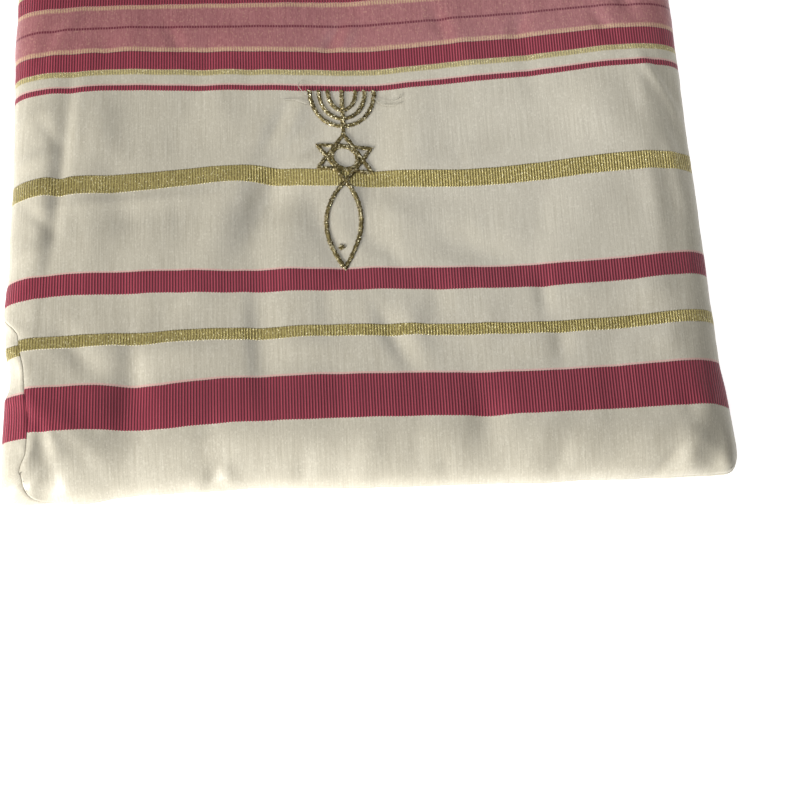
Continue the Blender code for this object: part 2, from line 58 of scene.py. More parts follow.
# The bag's driving sizes, as in the part's source. The lower-left corner, the seam beside it and a
# few folds are a little finer here than in the solids.
BAG_WIDTH = 280.0
BAG_HEIGHT = 250.0
SEAM_GAP = 0.3
BORDER = 22.0
MIDDLE_HEIGHT = 18.6
CORNER_HEIGHT = 16.6
ZIP_END_HEIGHT = 14.6
WHOLE_PART_SHIFT = (-1.1, -0.55)
CORNER_POWER = {"bottom_left": 5.5, "bottom_right": 7.0, "top_right": 4.0, "top_left": 4.0}
ZIP_LENGTH = 226.0
ZIP_OPEN_HALF = 4.0
ZIP_END_TAPER = 12.0
ZIP_END_PAST = 2.0
PROFILE_POINTS = 12
CROWN_POWER = 4
ZIP_SLOPE_FROM = 0.55
ZIP_SLOPE_LENGTH = 0.45

# The shells: size of a mesh cell, thickness of the cloth, and how its edges turn in at the seam
CELL = 1.45
CLOTH = 0.6
EDGE_SHARES = (0.935, 0.955, 0.97, 0.982, 0.991, 1.0)
LIP_SHARES = (1.02, 1.045)
ROLL_REACH = 1.6
ROLL_DEPTH = 0.15
LIP_DEPTH = 0.15
SEAM_FADE = 3.5
LIP_CLEARANCE = 0.02
EVEN_CELLS_STOP = 0.02

# Small ripples of the cloth: their height, and the lengths over which they change across and up
RIPPLE_HEIGHT = 0.42
RIPPLE_LENGTHS = (7.0, 45.0)
CROSS_RIPPLE_LENGTHS = (9.0, 60.0)
SEAM_RIPPLE_LENGTH = 5.0
SEAM_RIPPLE_REACH = 5.0
UNDERSIDE_HEIGHT = 0.5

# Where each side of a shell lies in its bake map: size and corner of the outer and the inner side,
# and the strip that holds the rim
BAKE_OUTER = ((0.98, 0.84), (0.01, 0.15))
BAKE_INNER = ((0.6, 0.12), (0.01, 0.01))
BAKE_RIM_ACROSS = (0.62, 0.99)
BAKE_RIM_UP = (0.05, 0.05, 0.01, 0.01)

# How the cloth bends round the side, all round the bag: turn is 0 at the lower-left corner, 1 at the
# lower right, 2 and 3 at the zip's corners and 4 back at the start. The other columns are the
# outline's bulge, the height where it is widest, the upright part there, the rounding over and under
# it, and how far up from there the seam runs.
Border = namedtuple("Border", "turn outline widest upright round_over round_under seam_up")
BORDERS = (
    (0.00, 0.7, 6, 1, 17, 8, 13),
    (0.07, 0, 6.2, 1, 18, 9, -0.5),
    (0.10, 0.8, 6.5, 1, 18, 10, -0.5),
    (0.20, -1.3, 7.2, 1.5, 20, 10, -1),
    (0.35, -1.8, 7.5, 1.5, 20, 10, -1),
    (0.52, 0.3, 7.5, 1.5, 20, 10, -1),
    (0.80, 1.5, 7.5, 1.5, 20, 10, -1),
    (0.95, 1.7, 6.5, 1, 18, 10, 0),
    (1.00, 2.4, 5.5, 0.6, 16, 8, 0.5),
    (1.05, 2.8, 6, 0.8, 17, 10, 0),
    (1.20, 0.3, 7.5, 1.5, 20, 10, -1.5),
    (1.55, -0.2, 8, 1.5, 21.5, 10, -2),
    (1.85, 0, 7.6, 1.5, 20, 10, -1),
    (2.00, 0, 6.6, 2, 16, 8, 0),
    (2.07, 0, 7.6, 9.8, 14, 5, 0),
    (2.93, 0, 7.6, 9.8, 14, 5, 0),
    (3.00, 0, 6.6, 2, 16, 8, 0),
    (3.15, 0.5, 7.6, 1.5, 19, 10, -1),
    (3.42, -0.6, 8, 1, 20, 10, -2),
    (3.60, -0.4, 8.2, 2, 18, 10, -1),
    (3.68, 0.4, 8.4, 2.5, 17, 10, 1.5),
    (3.735, 0.2, 8.4, 3, 16, 10, 11),
    (3.80, -0.2, 8.4, 3, 16, 10, 13.5),
    (3.89, -0.8, 8.4, 3, 16, 10, 15),
    (3.95, -0.4, 7.4, 2, 16, 10, 15.4),
    (4.00, 0.7, 6, 1, 17, 8, 13),
)

# Folds: where the middle of each lies on the cloth, which way it runs (degrees from +X), how far
# it reaches along and across, and its height, which is below zero in a trough
Fold = namedtuple("Fold", "x up heading along across height")
FOLDS = (
    (-118.6, 136, 85, 46, 2.6, -1.1),
    (-125.5, 132, 86, 42, 4, 0.8),
    (-108, 145, 89, 38, 8, 1.1),
    (-123, 18, 88, 12, 4, -0.4),
    (-124, 7, 47, 9, 3, 0.7),
    (-111, 22, -48, 15, 5, 0.9),
    (-91, 38, 85, 22, 6.5, -1.3),
    (-58, 10, 15, 16, 6, -1),
    (-41, 62, 92, 22, 6, -0.8),
    (47, 22, 95, 18, 7, -1.1),
    (84, 14, 70, 16, 8, 0.9),
    (131, 8, 84, 14, 6, -1.6),
    (110, 160, 80, 26, 15, 1.3),
    (128, 108, 88, 40, 6, -0.8),
    (-30, 122, 20, 22, 9, -1.1),
    (28, 124, -20, 20, 8, -0.4),
    (0, 205, 90, 30, 20, -1),
)

# Finer creases of the front cloth, out of the surface where the height is above zero
FRONT_CREASES = (
    # The trough beside the left edge, and the bulges and dents left of it
    (-112, 161, 88, 20, 3.2, 0.45),
    (-124, 160, 118, 9, 2.4, -0.6),
    (-127, 119, 130, 9, 2.6, -0.6),
    (-131, 168, 35, 8, 4, 0.7),
    (-130, 147, 20, 7, 4, 0.8),
    (-131, 133, 10, 7, 4, 0.6),
    (-130, 104, 30, 8, 4, 0.7),
    (-128, 88, 60, 9, 3, -0.7),
    (-101, 160, 88, 16, 7, 1.1),
    (-95, 132, 92, 14, 6, -0.4),
    # Across the left half, above the medium band
    (-93, 124.5, 2, 34, 2.8, 0.32),
    (-88, 116, 4, 26, 5, -0.25),
    (-104, 104, 75, 18, 7, 0.6),
    (-80, 108, 62, 18, 9, 0.7),
    (-36, 121, 69, 28, 7, -2.2),
    (-51, 118, 67, 26, 8, 1.2),
    (-26, 106, 80, 18, 7, 0.7),
    (-10, 102, 110, 20, 5.5, -1),
    (-30.5, 157, 63, 13, 2.6, -0.9),
    (-23.5, 157, 62, 13, 3, 0.8),
    (-15, 147, 40, 9, 3.4, -0.8),
    (-70, 158, 70, 20, 8, -0.5),
    (-52, 165, 100, 14, 6, 0.4),
    # Round the emblem and across the right half
    (8, 138, 84, 34, 8, -1.2),
    (-12, 160, 95, 16, 6, -0.5),
    (27, 150, 84, 26, 8, 0.7),
    (18, 111, -42, 15, 7, 0.7),
    (11, 98, -48, 14, 5, -0.7),
    (50, 94, -24, 22, 8, -1),
    (60, 150, 15, 30, 9, -0.5),
    (92, 112, 62, 26, 11, 0.9),
    (74, 108, 75, 18, 6, -0.5),
    (100, 160, 70, 18, 11, 0.9),
    (122, 118, 94, 20, 5, 0.6),
    # Between the medium band and the wide band
    (-44.5, 62, 91, 26, 3.6, 0.5),
    (-37, 62, 91, 26, 7.5, -1),
    (-76, 71, 50, 12, 4.5, -0.9),
    (-96, 56, 20, 9, 7, 0.8),
    (-88.5, 50, 96, 13, 3.8, -0.7),
    (-110, 58, -55, 12, 4.5, -0.9),
    (-68, 56, 8, 14, 6.5, 0.8),
    (-20, 56, 10, 11, 6, 0.7),
    (-12, 74, 85, 10, 4.5, -0.7),
    (5, 72, 80, 10, 6, 0.5),
    (13, 58, -66, 15, 3.6, -1),
    (22, 60, -72, 14, 4.5, 0.7),
    (31, 72, 84, 10, 5, -0.8),
    (50, 60, 75, 13, 6.5, 0.6),
    (66, 54, 15, 10, 6, 0.6),
    (73, 74, 91, 10, 3.2, -0.8),
    (78, 52, 84, 9, 4, -0.8),
    (88, 74, 20, 10, 6, 0.7),
    (103, 58, 30, 12, 6, -0.7),
    (116, 74, 40, 8, 6, 0.8),
    (120, 52, 60, 8, 5, 0.6),
    # On the wide band and under it
    (-88, 36, 92, 16, 8, -0.9),
    (-10, 34, 84, 14, 6, -0.4),
    (96, 33, 82, 14, 6, -0.5),
    (-86, 20, 60, 11, 4, -0.5),
    (-60, 17, 78, 11, 5, -0.6),
    (1, 9, 70, 11, 6, 0.8),
    (20, 12, 80, 10, 4, -0.4),
    (45, 17, 60, 13, 6.5, -0.8),
    (66, 10, 55, 14, 6, 0.9),
    (84, 20, 70, 10, 6, -0.6),
    # Puckers along the bottom edge
    (-58, 3.6, 62, 6, 2.4, -0.8),
    (-52.5, 3.4, -60, 6, 2.6, 0.5),
    (-63.5, 3.4, 60, 6, 2.6, 0.4),
    (-24, 4, 75, 6, 3, -0.5),
    (30, 4, 100, 6, 3, -0.4),
    (74, 4, 60, 7, 3, -0.6),
    # The turned-out corner at the lower right
    (108, 9, 40, 12, 4, 0.6),
    (116, 2, 38, 9.5, 1.9, -1.9),
    (124, 3, 84, 12, 4.4, 1.1),
    (130, 20, 84, 10, 3, 0.3),
    (140, 12, 84, 14, 7, -0.5),
    (125, 24, 92, 8, 3, -0.5),
    (135.5, 5, 80, 13, 4.2, -1),
    (134, 24, 70, 7, 2.6, 0.5),
    # The upper right
    (129, 173, 118, 13, 2.2, 0.9),
    (134, 170, 112, 12, 2.2, -0.9),
    (122, 168, 100, 12, 3.4, 0.5),
    (134, 150, 100, 15, 2.6, -0.9),
    (131, 136, 95, 14, 3, 0.5),
    # The turned-out corner at the lower left
    (-129, 18, 92, 13, 2.6, 0.5),
    (-122, 17, 98, 11, 3.4, -0.6),
    (-118, 18, 104, 10, 2.2, 0.6),
    (-125.5, 5, 44, 9, 1.8, 0.8),
    (-121, 1, 32, 10, 2.6, -0.9),
    (-113.5, 5, 78, 8, 3.6, 0.4),
    (-116, 18, -52, 12, 3.2, 0.5),
    (-107, 14, -50, 11, 4, -0.3),
    (-131, 38, 85, 8, 3, 0.6),
    # The roll of the cloth above the bottom edge
    (-40, 27, 0, 110, 12, 1.3),
    (-40, 5, 0, 100, 8, -0.8),
    (70, 25, 0, 60, 12, 0.5),
    # Puckers in the bands near the photo's upper edge
    (-6, 199, 62, 8, 2.6, -0.8),
    (0, 200, 66, 8, 2.6, 0.6),
    (-72, 203, 110, 9, 3, -0.6),
    (-101, 198, 60, 8, 3, -0.6),
    (40, 205, 104, 9, 3, -0.6),
    (72, 200, 70, 9, 3, -0.6),
    (108, 203, 112, 9, 3, -0.7),
    (-40, 187, 84, 9, 4, -0.4),
    # Near the zip, beyond the photo's edge
    (-60, 190, 75, 22, 6, -0.6),
    (-90, 200, 85, 20, 7, 0.5),
    (48, 196, 100, 22, 6, 0.6),
    (75, 190, 95, 20, 5, -0.6),
    (110, 205, 80, 20, 7, 0.5),
    (-20, 232, 95, 12, 4, -0.7),
    (12, 226, 85, 14, 5, 0.5),
    (60, 236, 85, 10, 4, -0.7),
    (-80, 236, 92, 10, 4, -0.7),
    (-126, 204, 70, 12, 3, -0.8),
    (-116, 213, 60, 12, 3, 0.6),
    (118, 218, 110, 12, 3, -0.8),
)

# Creases of the back cloth, on the strip that shows at the lower left, on the sides and below
BACK_CREASES = (
    (-145, 50, 90, 9, 7, -3),
    (-146, 70, 90, 10, 8, -0.8),
    (-154, 51, 84, 6, 3, -1.2),
    (-150, 41, 20, 5, 2.5, 0.8),
    (-152, 62, 62, 8, 2.6, 0.6),
    (-153, 36, 92, 10, 3, -0.5),
    (-150, 20, 80, 10, 3, 0.6),
    (-154, 12, 70, 8, 3, -0.5),
    (-90, 60, 40, 40, 5, -0.8),
    (-40, 150, 75, 60, 6, -0.8),
    (35, 90, 110, 50, 6, -0.7),
    (85, 170, 60, 45, 5, -0.8),
    (95, 45, 130, 35, 5, -0.8),
    (-100, 190, 130, 30, 5, -0.7),
    (-128, 110, 85, 30, 4, -0.6),
    (128, 120, 95, 40, 4, -0.7),
    (131, 60, 80, 20, 3.5, -0.6),
    (-60, 8, 70, 9, 4, -0.6),
    (20, 7, 100, 9, 4, -0.6),
    (80, 8, 80, 9, 4, -0.6),
)

# The woven bands, from the bottom seam upwards, in millimetres along the cloth
Band = namedtuple("Band", "start end kind")
BANDS = (
    (24.5, 43.5, "raspberry"),
    (43.5, 44.4, "blush"),
    (60, 65, "gold"),
    (80, 89.5, "raspberry"),
    (89.5, 90.3, "blush"),
    (128, 135.8, "gold"),
    (173.7, 176.2, "raspberry"),
    (176.2, 177, "blush"),
    (181.4, 184, "beige"),
    (184, 193.2, "raspberry"),
    (193.2, 195.6, "pale"),
    (195.6, 205.9, "mauve"),
    (205.9, 207.2, "ticks"),
    (207.2, 217.2, "mauve"),
    (217.2, 219.5, "pale"),
    (219.5, 228.7, "raspberry"),
    (228.7, 231.2, "beige"),
    (237, 239.5, "raspberry"),
)
RIB_PITCH = 1.137

# How the bands wander on the filled bag: each pull shifts the bands up the cloth round its middle,
# or down where its shift is below zero, and fades out across and up
Pull = namedtuple("Pull", "x up reach_across reach_up shift")
PULLS = (
    # They sag right of the middle, and rise to the right edge, most near the zip
    (70, 55, 60, 45, -3.5),
    (50, 128, 40, 30, -3.5),
    (150, 190, 80, 45, 8),
    (155, 95, 35, 40, 3.5),
    # They rise over the left side, and sag a little at the emblem
    (-120, 190, 80, 50, 5),
    (-110, 88, 60, 15, 3),
    (-50, 132, 25, 20, 3),
    (10, 175, 30, 40, -1.5),
    (-80, 34, 20, 15, -2),
    (-150, 20, 20, 20, 2),
)
WANDER_HEIGHT = 0.28
WANDER_LENGTHS = (7.0, 30.0)

# The back's bands lie lower at the left, and wave a little
BACK_LOWER = 1.7
BACK_LOWER_FROM = 60.0
BACK_LOWER_FADE = 60.0
BACK_WAVE_HEIGHT = 0.8
BACK_WAVE_LENGTH = 45.0


def smooth_step(value):
    """0 below 0 and 1 above 1, with a soft start and end between."""
    t = np.clip(value, 0.0, 1.0)
    return t * t * (3.0 - 2.0 * t)


def border_values(turn, column):
    """One column of the border table, read at each turn, softly between its rows."""
    rows = [Border(*row) for row in BORDERS]
    turns = np.array([row.turn for row in rows])
    values = np.array([getattr(row, column) for row in rows])
    at = np.clip(np.searchsorted(turns, turn, side="right") - 1, 0, len(turns) - 2)
    share = smooth_step((turn - turns[at]) / (turns[at + 1] - turns[at]))
    return values[at] + (values[at + 1] - values[at]) * share


def unit(vectors, least=TINY):
    """The vectors with their lengths brought to one."""
    return vectors / np.maximum(np.linalg.norm(vectors, axis=-1, keepdims=True), least)


def fold_height(folds, x, up):
    """Height that a table of folds adds at each place."""
    total = np.zeros_like(x)
    for fold in map(Fold._make, folds):
        heading = math.radians(fold.heading)
        dx = x - fold.x
        dy = up - fold.up
        along = (dx * math.cos(heading) + dy * math.sin(heading)) / fold.along
        across = (dy * math.cos(heading) - dx * math.sin(heading)) / fold.across
        total += fold.height * np.exp(-(along**2) - across**2)
    return total


def crown_height(x, y):
    """Height of the front over the flat middle of the bag, without its folds."""
    across = 1.0 - (x / (BAG_WIDTH / 2)) ** CROWN_POWER
    lengthwise = 1.0 - (y / (BAG_HEIGHT / 2)) ** CROWN_POWER
    full = CORNER_HEIGHT + (MIDDLE_HEIGHT - CORNER_HEIGHT) * across * lengthwise
    past = y - ZIP_SLOPE_FROM * BAG_HEIGHT / 2
    to_zip = smooth_step(past / (ZIP_SLOPE_LENGTH * BAG_HEIGHT / 2))
    return full + (ZIP_END_HEIGHT - CORNER_HEIGHT) * to_zip


def border_place(u, v):
    """Where a point of the unbent skin lies in the border."""
    half_x = BAG_WIDTH / 2 - BORDER
    half_y = BAG_HEIGHT / 2 - BORDER
    base_x = np.clip(u, -half_x, half_x)
    base_y = np.clip(v, -half_y, half_y)
    over_x = np.abs(u - base_x)
    over_y = np.abs(v - base_y)
    widest = np.maximum(over_x, over_y)
    ratio = np.where(widest > 0, np.minimum(over_x, over_y) / np.maximum(widest, TINY), 0.0)
    side_x = np.where(over_x > 0, np.sign(u) * (half_x + BORDER * ratio), u)
    side_y = np.where(over_y > 0, np.sign(v) * (half_y + BORDER * ratio), v)
    on_x_side = over_x >= over_y
    bottom = (side_x + BAG_WIDTH / 2) / BAG_WIDTH
    right = 1.0 + (side_y + BAG_HEIGHT / 2) / BAG_HEIGHT
    turn_x = np.where(u > 0, right, 5.0 - right)
    turn_y = np.where(v > 0, 3.0 - bottom, bottom)
    turn = np.where(on_x_side, turn_x, turn_y)
    power = np.select(
        [(u < 0) & (v < 0), (u > 0) & (v < 0), (u > 0) & (v > 0)],
        [CORNER_POWER["bottom_left"], CORNER_POWER["bottom_right"], CORNER_POWER["top_right"]],
        CORNER_POWER["top_left"],
    )
    length = np.maximum((over_x**power + over_y**power) ** (1.0 / power), TINY)
    out_x = np.sign(u) * over_x / length
    out_y = np.sign(v) * over_y / length
    return base_x, base_y, widest / BORDER, out_x, out_y, turn


def zip_half(turn):
    """Half of the gap that the panels leave for the zip, measured along the skin."""
    from_middle = np.abs(turn - 2.5) * BAG_WIDTH
    to_end = ZIP_LENGTH / 2 + ZIP_END_PAST - from_middle
    return ZIP_OPEN_HALF * smooth_step(to_end / ZIP_END_TAPER)


def bend(turn, top):
    """The bend of the skin round the side, as points from the middle's edge to the middle's edge."""
    reach = BORDER + border_values(turn, "outline")
    widest = border_values(turn, "widest")
    half_side = border_values(turn, "upright") / 2
    over = border_values(turn, "round_over")
    under = border_values(turn, "round_under")
    angles = np.linspace(0.0, math.pi / 2, PROFILE_POINTS)
    rise = (top - widest - half_side)[:, None]
    fall = (widest - half_side)[:, None]
    out_over = (reach - over)[:, None] + over[:, None] * np.sin(angles)
    height_over = (widest + half_side)[:, None] + rise * np.cos(angles)
    out_under = (reach - under)[:, None] + under[:, None] * np.cos(angles)
    height_under = fall * (1.0 - np.sin(angles))
    start = np.zeros((len(turn), 1))
    out = np.hstack([start, out_over, out_under, start])
    height = np.hstack([top[:, None], height_over, height_under, start])
    steps = np.hypot(np.diff(out, axis=1), np.diff(height, axis=1))
    distance = np.hstack([start, np.cumsum(steps, axis=1)])
    widest_distance = (distance[:, PROFILE_POINTS] + distance[:, PROFILE_POINTS + 1]) / 2
    return out, height, distance, widest_distance


def read_bend(out, height, distance, wanted):
    """Distance outwards and height at a wanted distance along each bend."""
    last = distance.shape[1] - 2
    at = np.clip((distance < wanted[:, None]).sum(axis=1) - 1, 0, last)
    rows = np.arange(len(wanted))
    length = np.maximum(distance[rows, at + 1] - distance[rows, at], TINY)
    share = (wanted - distance[rows, at]) / length
    out_here = out[rows, at] + (out[rows, at + 1] - out[rows, at]) * share
    height_here = height[rows, at] + (height[rows, at + 1] - height[rows, at]) * share
    return out_here, height_here


def skin(u, v, side):
    """Points of the outer skin, the cloth's own coordinates there, and how the edge turns in.

    The coordinates are across and up, in the unfolded cloth. to_edge is the distance left to the
    panel's edge, and lip how far past its edge a point is, from 0 to 1.
    """
    base_x, base_y, share, out_x, out_y, turn = border_place(u, v)
    lip = np.clip((share - 1.0) / (LIP_SHARES[-1] - 1.0), 0.0, 1.0)
    share = np.minimum(share, 1.0)
    top = crown_height(base_x, base_y)
    out, height, distance, widest_distance = bend(turn, top)
    seam = widest_distance - border_values(turn, "seam_up")
    half_gap = zip_half(turn)
    edge_gap = SEAM_GAP / 2 + half_gap
    close = lip * (SEAM_GAP / 2 - LIP_CLEARANCE) * (1.0 - half_gap / ZIP_OPEN_HALF)
    if side == "front":
        length = seam - edge_gap
        along = share * length
        wanted = along + close
    else:
        length = distance[:, -1] - seam - edge_gap
        along = share * length
        wanted = distance[:, -1] - along - close
    reach, z = read_bend(out, height, distance, wanted)
    x = base_x + out_x * reach
    y = base_y + out_y * reach
    edge = border_values(turn, "widest") + border_values(turn, "upright") / 2
    folds = fold_height(FOLDS, x, y + BAG_HEIGHT / 2)
    z = z + folds * smooth_step((z - edge) / (top - edge))
    points = np.stack([x + WHOLE_PART_SHIFT[0], y + WHOLE_PART_SHIFT[1], z], axis=1)
    across = base_x + out_x * along
    up = base_y + out_y * along + BAG_HEIGHT / 2
    to_edge = np.where(share > 0, (1.0 - share) * length, BORDER)
    return points, across, up, to_edge, lip


def stations(length):
    """Grid lines across the unbent panel, close together at its edges, with the lip past them."""
    half = length / 2
    middle_half = half - BORDER
    count = 2 * round(middle_half / CELL)
    middle = np.linspace(-middle_half, middle_half, count + 1)
    even = np.arange(CELL / BORDER, EDGE_SHARES[0] - EVEN_CELLS_STOP, CELL / BORDER)
    shares = np.concatenate([even, EDGE_SHARES, LIP_SHARES])
    outer = middle_half + BORDER * shares
    return np.concatenate([-outer[::-1], middle, outer])


WAVE_OCTAVES = 3
WAVES_AN_OCTAVE = 4
WAVE_DAMPING = 1.2
SEEDS = {
    "emblem": 5,
    "hem": 9,
    "ripple": 11,
    "cross_ripple": 12,
    "seam": 21,
    "shawl": 31,
    "wander": 41,
}


def wave(place, name):
    """Smooth irregular waves from -1 to 1 along one number, the same each run."""
    total = np.zeros_like(place)
    draw = random.Random(SEEDS[name])
    for octave in range(WAVE_OCTAVES):
        for _ in range(WAVES_AN_OCTAVE):
            rate = 2.0**octave * draw.uniform(0.6, 1.4)
            total += np.sin(place * rate + draw.uniform(0.0, 2.0 * math.pi)) / 2.0**octave
    return total / (WAVES_AN_OCTAVE * WAVE_DAMPING)


def grid_normals(points, outwards):
    """Unit normals of a grid of points, on the side given by outwards (1 or -1)."""
    along_u = np.gradient(points, axis=0)
    along_v = np.gradient(points, axis=1)
    normal = np.cross(along_u, along_v) * outwards
    return unit(normal, 1e-12)


def panel_surface(side):
    """The outer surface of one panel's cloth as grids: points, normals, across, up."""
    columns = stations(BAG_WIDTH)
    rows = stations(BAG_HEIGHT)
    u, v = np.meshgrid(columns, rows, indexing="ij")
    points, across, up, to_edge, lip = skin(u.ravel(), v.ravel(), side)
    shape = u.shape
    points = points.reshape(*shape, 3)
    across, up, to_edge, lip = (grid.reshape(shape) for grid in (across, up, to_edge, lip))
    outwards = 1.0 if side == "front" else -1.0
    normals = grid_normals(points, outwards)
    creases = FRONT_CREASES if side == "front" else BACK_CREASES
    lift = fold_height(creases, across, up)
    ripple = wave(across / RIPPLE_LENGTHS[0] + up / RIPPLE_LENGTHS[1], "ripple")
    crossing = up / CROSS_RIPPLE_LENGTHS[0] - across / CROSS_RIPPLE_LENGTHS[1]
    lift += RIPPLE_HEIGHT * ripple * wave(crossing, "cross_ripple")
    lift *= smooth_step(to_edge / SEAM_FADE)
    near_seam = np.exp(-to_edge / SEAM_RIPPLE_REACH)
    seam_place = (points[:, :, 0] + points[:, :, 1]) / SEAM_RIPPLE_LENGTH
    lift += RIPPLE_HEIGHT * near_seam * wave(seam_place, "seam")
    if side == "back":
        lift = np.where(points[:, :, 2] < UNDERSIDE_HEIGHT, np.minimum(lift, 0.0), lift)
    roll = ROLL_DEPTH * np.clip(1.0 - to_edge / ROLL_REACH, 0.0, 1.0) ** 2
    lift -= roll + lip * LIP_DEPTH
    points = points + normals * lift[:, :, None]
    points[:, :, 2] = np.maximum(points[:, :, 2], 0.0)
    return points, grid_normals(points, outwards), across, up


def pull_at(across, up):
    """How much higher than in the flat cloth a band shows at each place."""
    total = np.zeros_like(across)
    for pull in map(Pull._make, PULLS):
        aside = (across - pull.x) / pull.reach_across
        above = (up - pull.up) / pull.reach_up
        total += pull.shift * np.exp(-(aside**2) - above**2)
    return total


def stripe_place(side, across, up):
    """Where each point lies in the woven pattern."""
    if side == "front":
        place = across / WANDER_LENGTHS[0] + up / WANDER_LENGTHS[1]
        return up - pull_at(across, up) - WANDER_HEIGHT * wave(place, "wander")
    left = smooth_step((-across - BACK_LOWER_FROM) / BACK_LOWER_FADE)
    return up + BACK_LOWER * left + BACK_WAVE_HEIGHT * np.sin(across / BACK_WAVE_LENGTH)


def set_uv(mesh, name, corner_uv):
    """A UV map from one pair of numbers for each face corner."""
    layer = mesh.uv_layers.new(name=name)
    layer.data.foreach_set("uv", np.ascontiguousarray(corner_uv, dtype=np.float32).ravel())


def add_object(name, data):
    """A new object of the scene."""
    thing = bpy.data.objects.new(name, data)
    bpy.context.scene.collection.objects.link(thing)
    return thing


def mesh_from(name, points, faces, material, smooth=True):
    """An object from points in millimetres and lists of corners."""
    mesh = bpy.data.meshes.new(name)
    mesh.from_pydata((np.asarray(points) * MM).tolist(), [], faces)
    mesh.update()
    if smooth:
        mesh.shade_smooth()
    mesh.materials.append(material)
    return add_object(name, mesh)


def cloth_shell(name, side, surface, material):
    """One panel's cloth: outer and inner surface joined round its edges."""
    points, normals, across, up = surface
    wide, high = across.shape
    count = wide * high
    outer = points.reshape(-1, 3)
    inner = (points - normals * CLOTH).reshape(-1, 3)
    place = stripe_place(side, across, up)
    index = np.arange(count).reshape(wide, high)
    a, b = index[:-1, :-1].ravel(), index[1:, :-1].ravel()
    c, d = index[1:, 1:].ravel(), index[:-1, 1:].ravel()
    quads = np.stack([a, b, c, d], axis=1)
    if side == "back":
        quads = quads[:, ::-1]
    under = quads[:, ::-1] + count
    ring = np.concatenate([index[:-1, 0], index[-1, :-1], index[:0:-1, -1], index[0, :0:-1]])
    after = np.roll(ring, -1)
    rim = np.stack([after, ring, ring + count, after + count], axis=1)
    if side == "back":
        rim = rim[:, ::-1]
    faces = np.concatenate([quads, under, rim])
    thing = mesh_from(name, np.concatenate([outer, inner]), faces.tolist(), material)
    corners = faces.ravel()
    cloth = np.stack([across.ravel(), place.ravel()], axis=1)
    cloth = np.concatenate([cloth, cloth])
    set_uv(thing.data, "cloth", cloth[corners])
    i, j = np.meshgrid(np.linspace(0, 1, wide), np.linspace(0, 1, high), indexing="ij")
    flat = np.stack([i.ravel(), j.ravel()], axis=1)
    sides = [flat * size + corner for size, corner in (BAKE_OUTER, BAKE_INNER)]
    bake = np.concatenate(sides)[corners]
    rim_start = (len(quads) + len(under)) * 4
    steps = np.linspace(*BAKE_RIM_ACROSS, len(rim) + 1)
    along = np.stack([steps[1:], steps[:-1], steps[:-1], steps[1:]], axis=1)
    heights = np.tile(BAKE_RIM_UP, (len(rim), 1))
    bake[rim_start:] = np.stack([along, heights], axis=2).reshape(-1, 2)
    set_uv(thing.data, "OFBake", bake)
    return thing


class Nodes:
    """Short calls that add nodes to a material and join them up."""

    def __init__(self, name):
        self.material = bpy.data.materials.new(name)
        self.material.use_nodes = True
        self.tree = self.material.node_tree
        self.shader = self.tree.nodes["Principled BSDF"]

    def add(self, kind, inputs=(), **settings):
        node = self.tree.nodes.new(kind)
        for key, value in settings.items():
            setattr(node, key, value)
        for key, value in dict(inputs).items():
            self.put(node.inputs[key], value)
        return node

    def put(self, socket, value):
        if isinstance(value, bpy.types.NodeSocket):
            self.tree.links.new(value, socket)
        else:
            socket.default_value = value

    def math(self, operation, a, b=0.0, clamp=False):
        node = self.add("ShaderNodeMath", {0: a, 1: b}, operation=operation, use_clamp=clamp)
        return node.outputs[0]

    def mix(self, share, a, b, blend="MIX"):
        node = self.add("ShaderNodeMix", data_type="RGBA", blend_type=blend)
        self.put(node.inputs[0], share)
        self.put(node.inputs[6], a)
        self.put(node.inputs[7], b)
        return node.outputs[2]

    def span(self, value, low, high, to_low=0.0, to_high=1.0):
        node = self.add("ShaderNodeMapRange", {0: value, 1: low, 2: high, 3: to_low, 4: to_high})
        return node.outputs[0]

    def combine(self, x, y, z=0.0):
        return self.add("ShaderNodeCombineXYZ", {0: x, 1: y, 2: z}).outputs[0]

    def noise(self, place, scale=1.0, detail=2.0, roughness=0.5):
        inputs = {"Vector": place, "Scale": scale, "Detail": detail, "Roughness": roughness}
        return self.add("ShaderNodeTexNoise", inputs).outputs["Fac"]

    def times(self, a, b):
        return self.math("MULTIPLY", a, b)

    def plus(self, a, b):
        return self.math("ADD", a, b)

    def cells(self, place):
        node = self.add("ShaderNodeTexWhiteNoise", {"Vector": place}, noise_dimensions="3D")
        return node.outputs["Value"]

    def bump(self, height, distance):
        inputs = {"Height": height, "Distance": distance}
        return self.add("ShaderNodeBump", inputs).outputs["Normal"]

    def object_place(self):
        return self.add("ShaderNodeTexCoord").outputs["Object"]

    def shade(self, **sockets):
        for key, value in sockets.items():
            self.put(self.shader.inputs[key.replace("_", " ")], value)
        return self.material


def tint(red, green, blue):
    """A colour from 8-bit screen values."""
    values = (v / 255.0 for v in (red, green, blue))
    linear = [v / 12.92 if v <= 0.04045 else ((v + 0.055) / 1.055) ** 2.4 for v in values]
    return (*linear, 1.0)


def band_mask(nodes, place, kinds, soft):
    """1 inside the bands of the given kinds and 0 outside them."""
    total = None
    for band in map(Band._make, BANDS):
        if band.kind not in kinds:
            continue
        rise = nodes.span(place, band.start - soft, band.start + soft)
        fall = nodes.span(place, band.end - soft, band.end + soft)
        inside = nodes.math("SUBTRACT", rise, fall)
        total = inside if total is None else nodes.plus(total, inside)
    return total


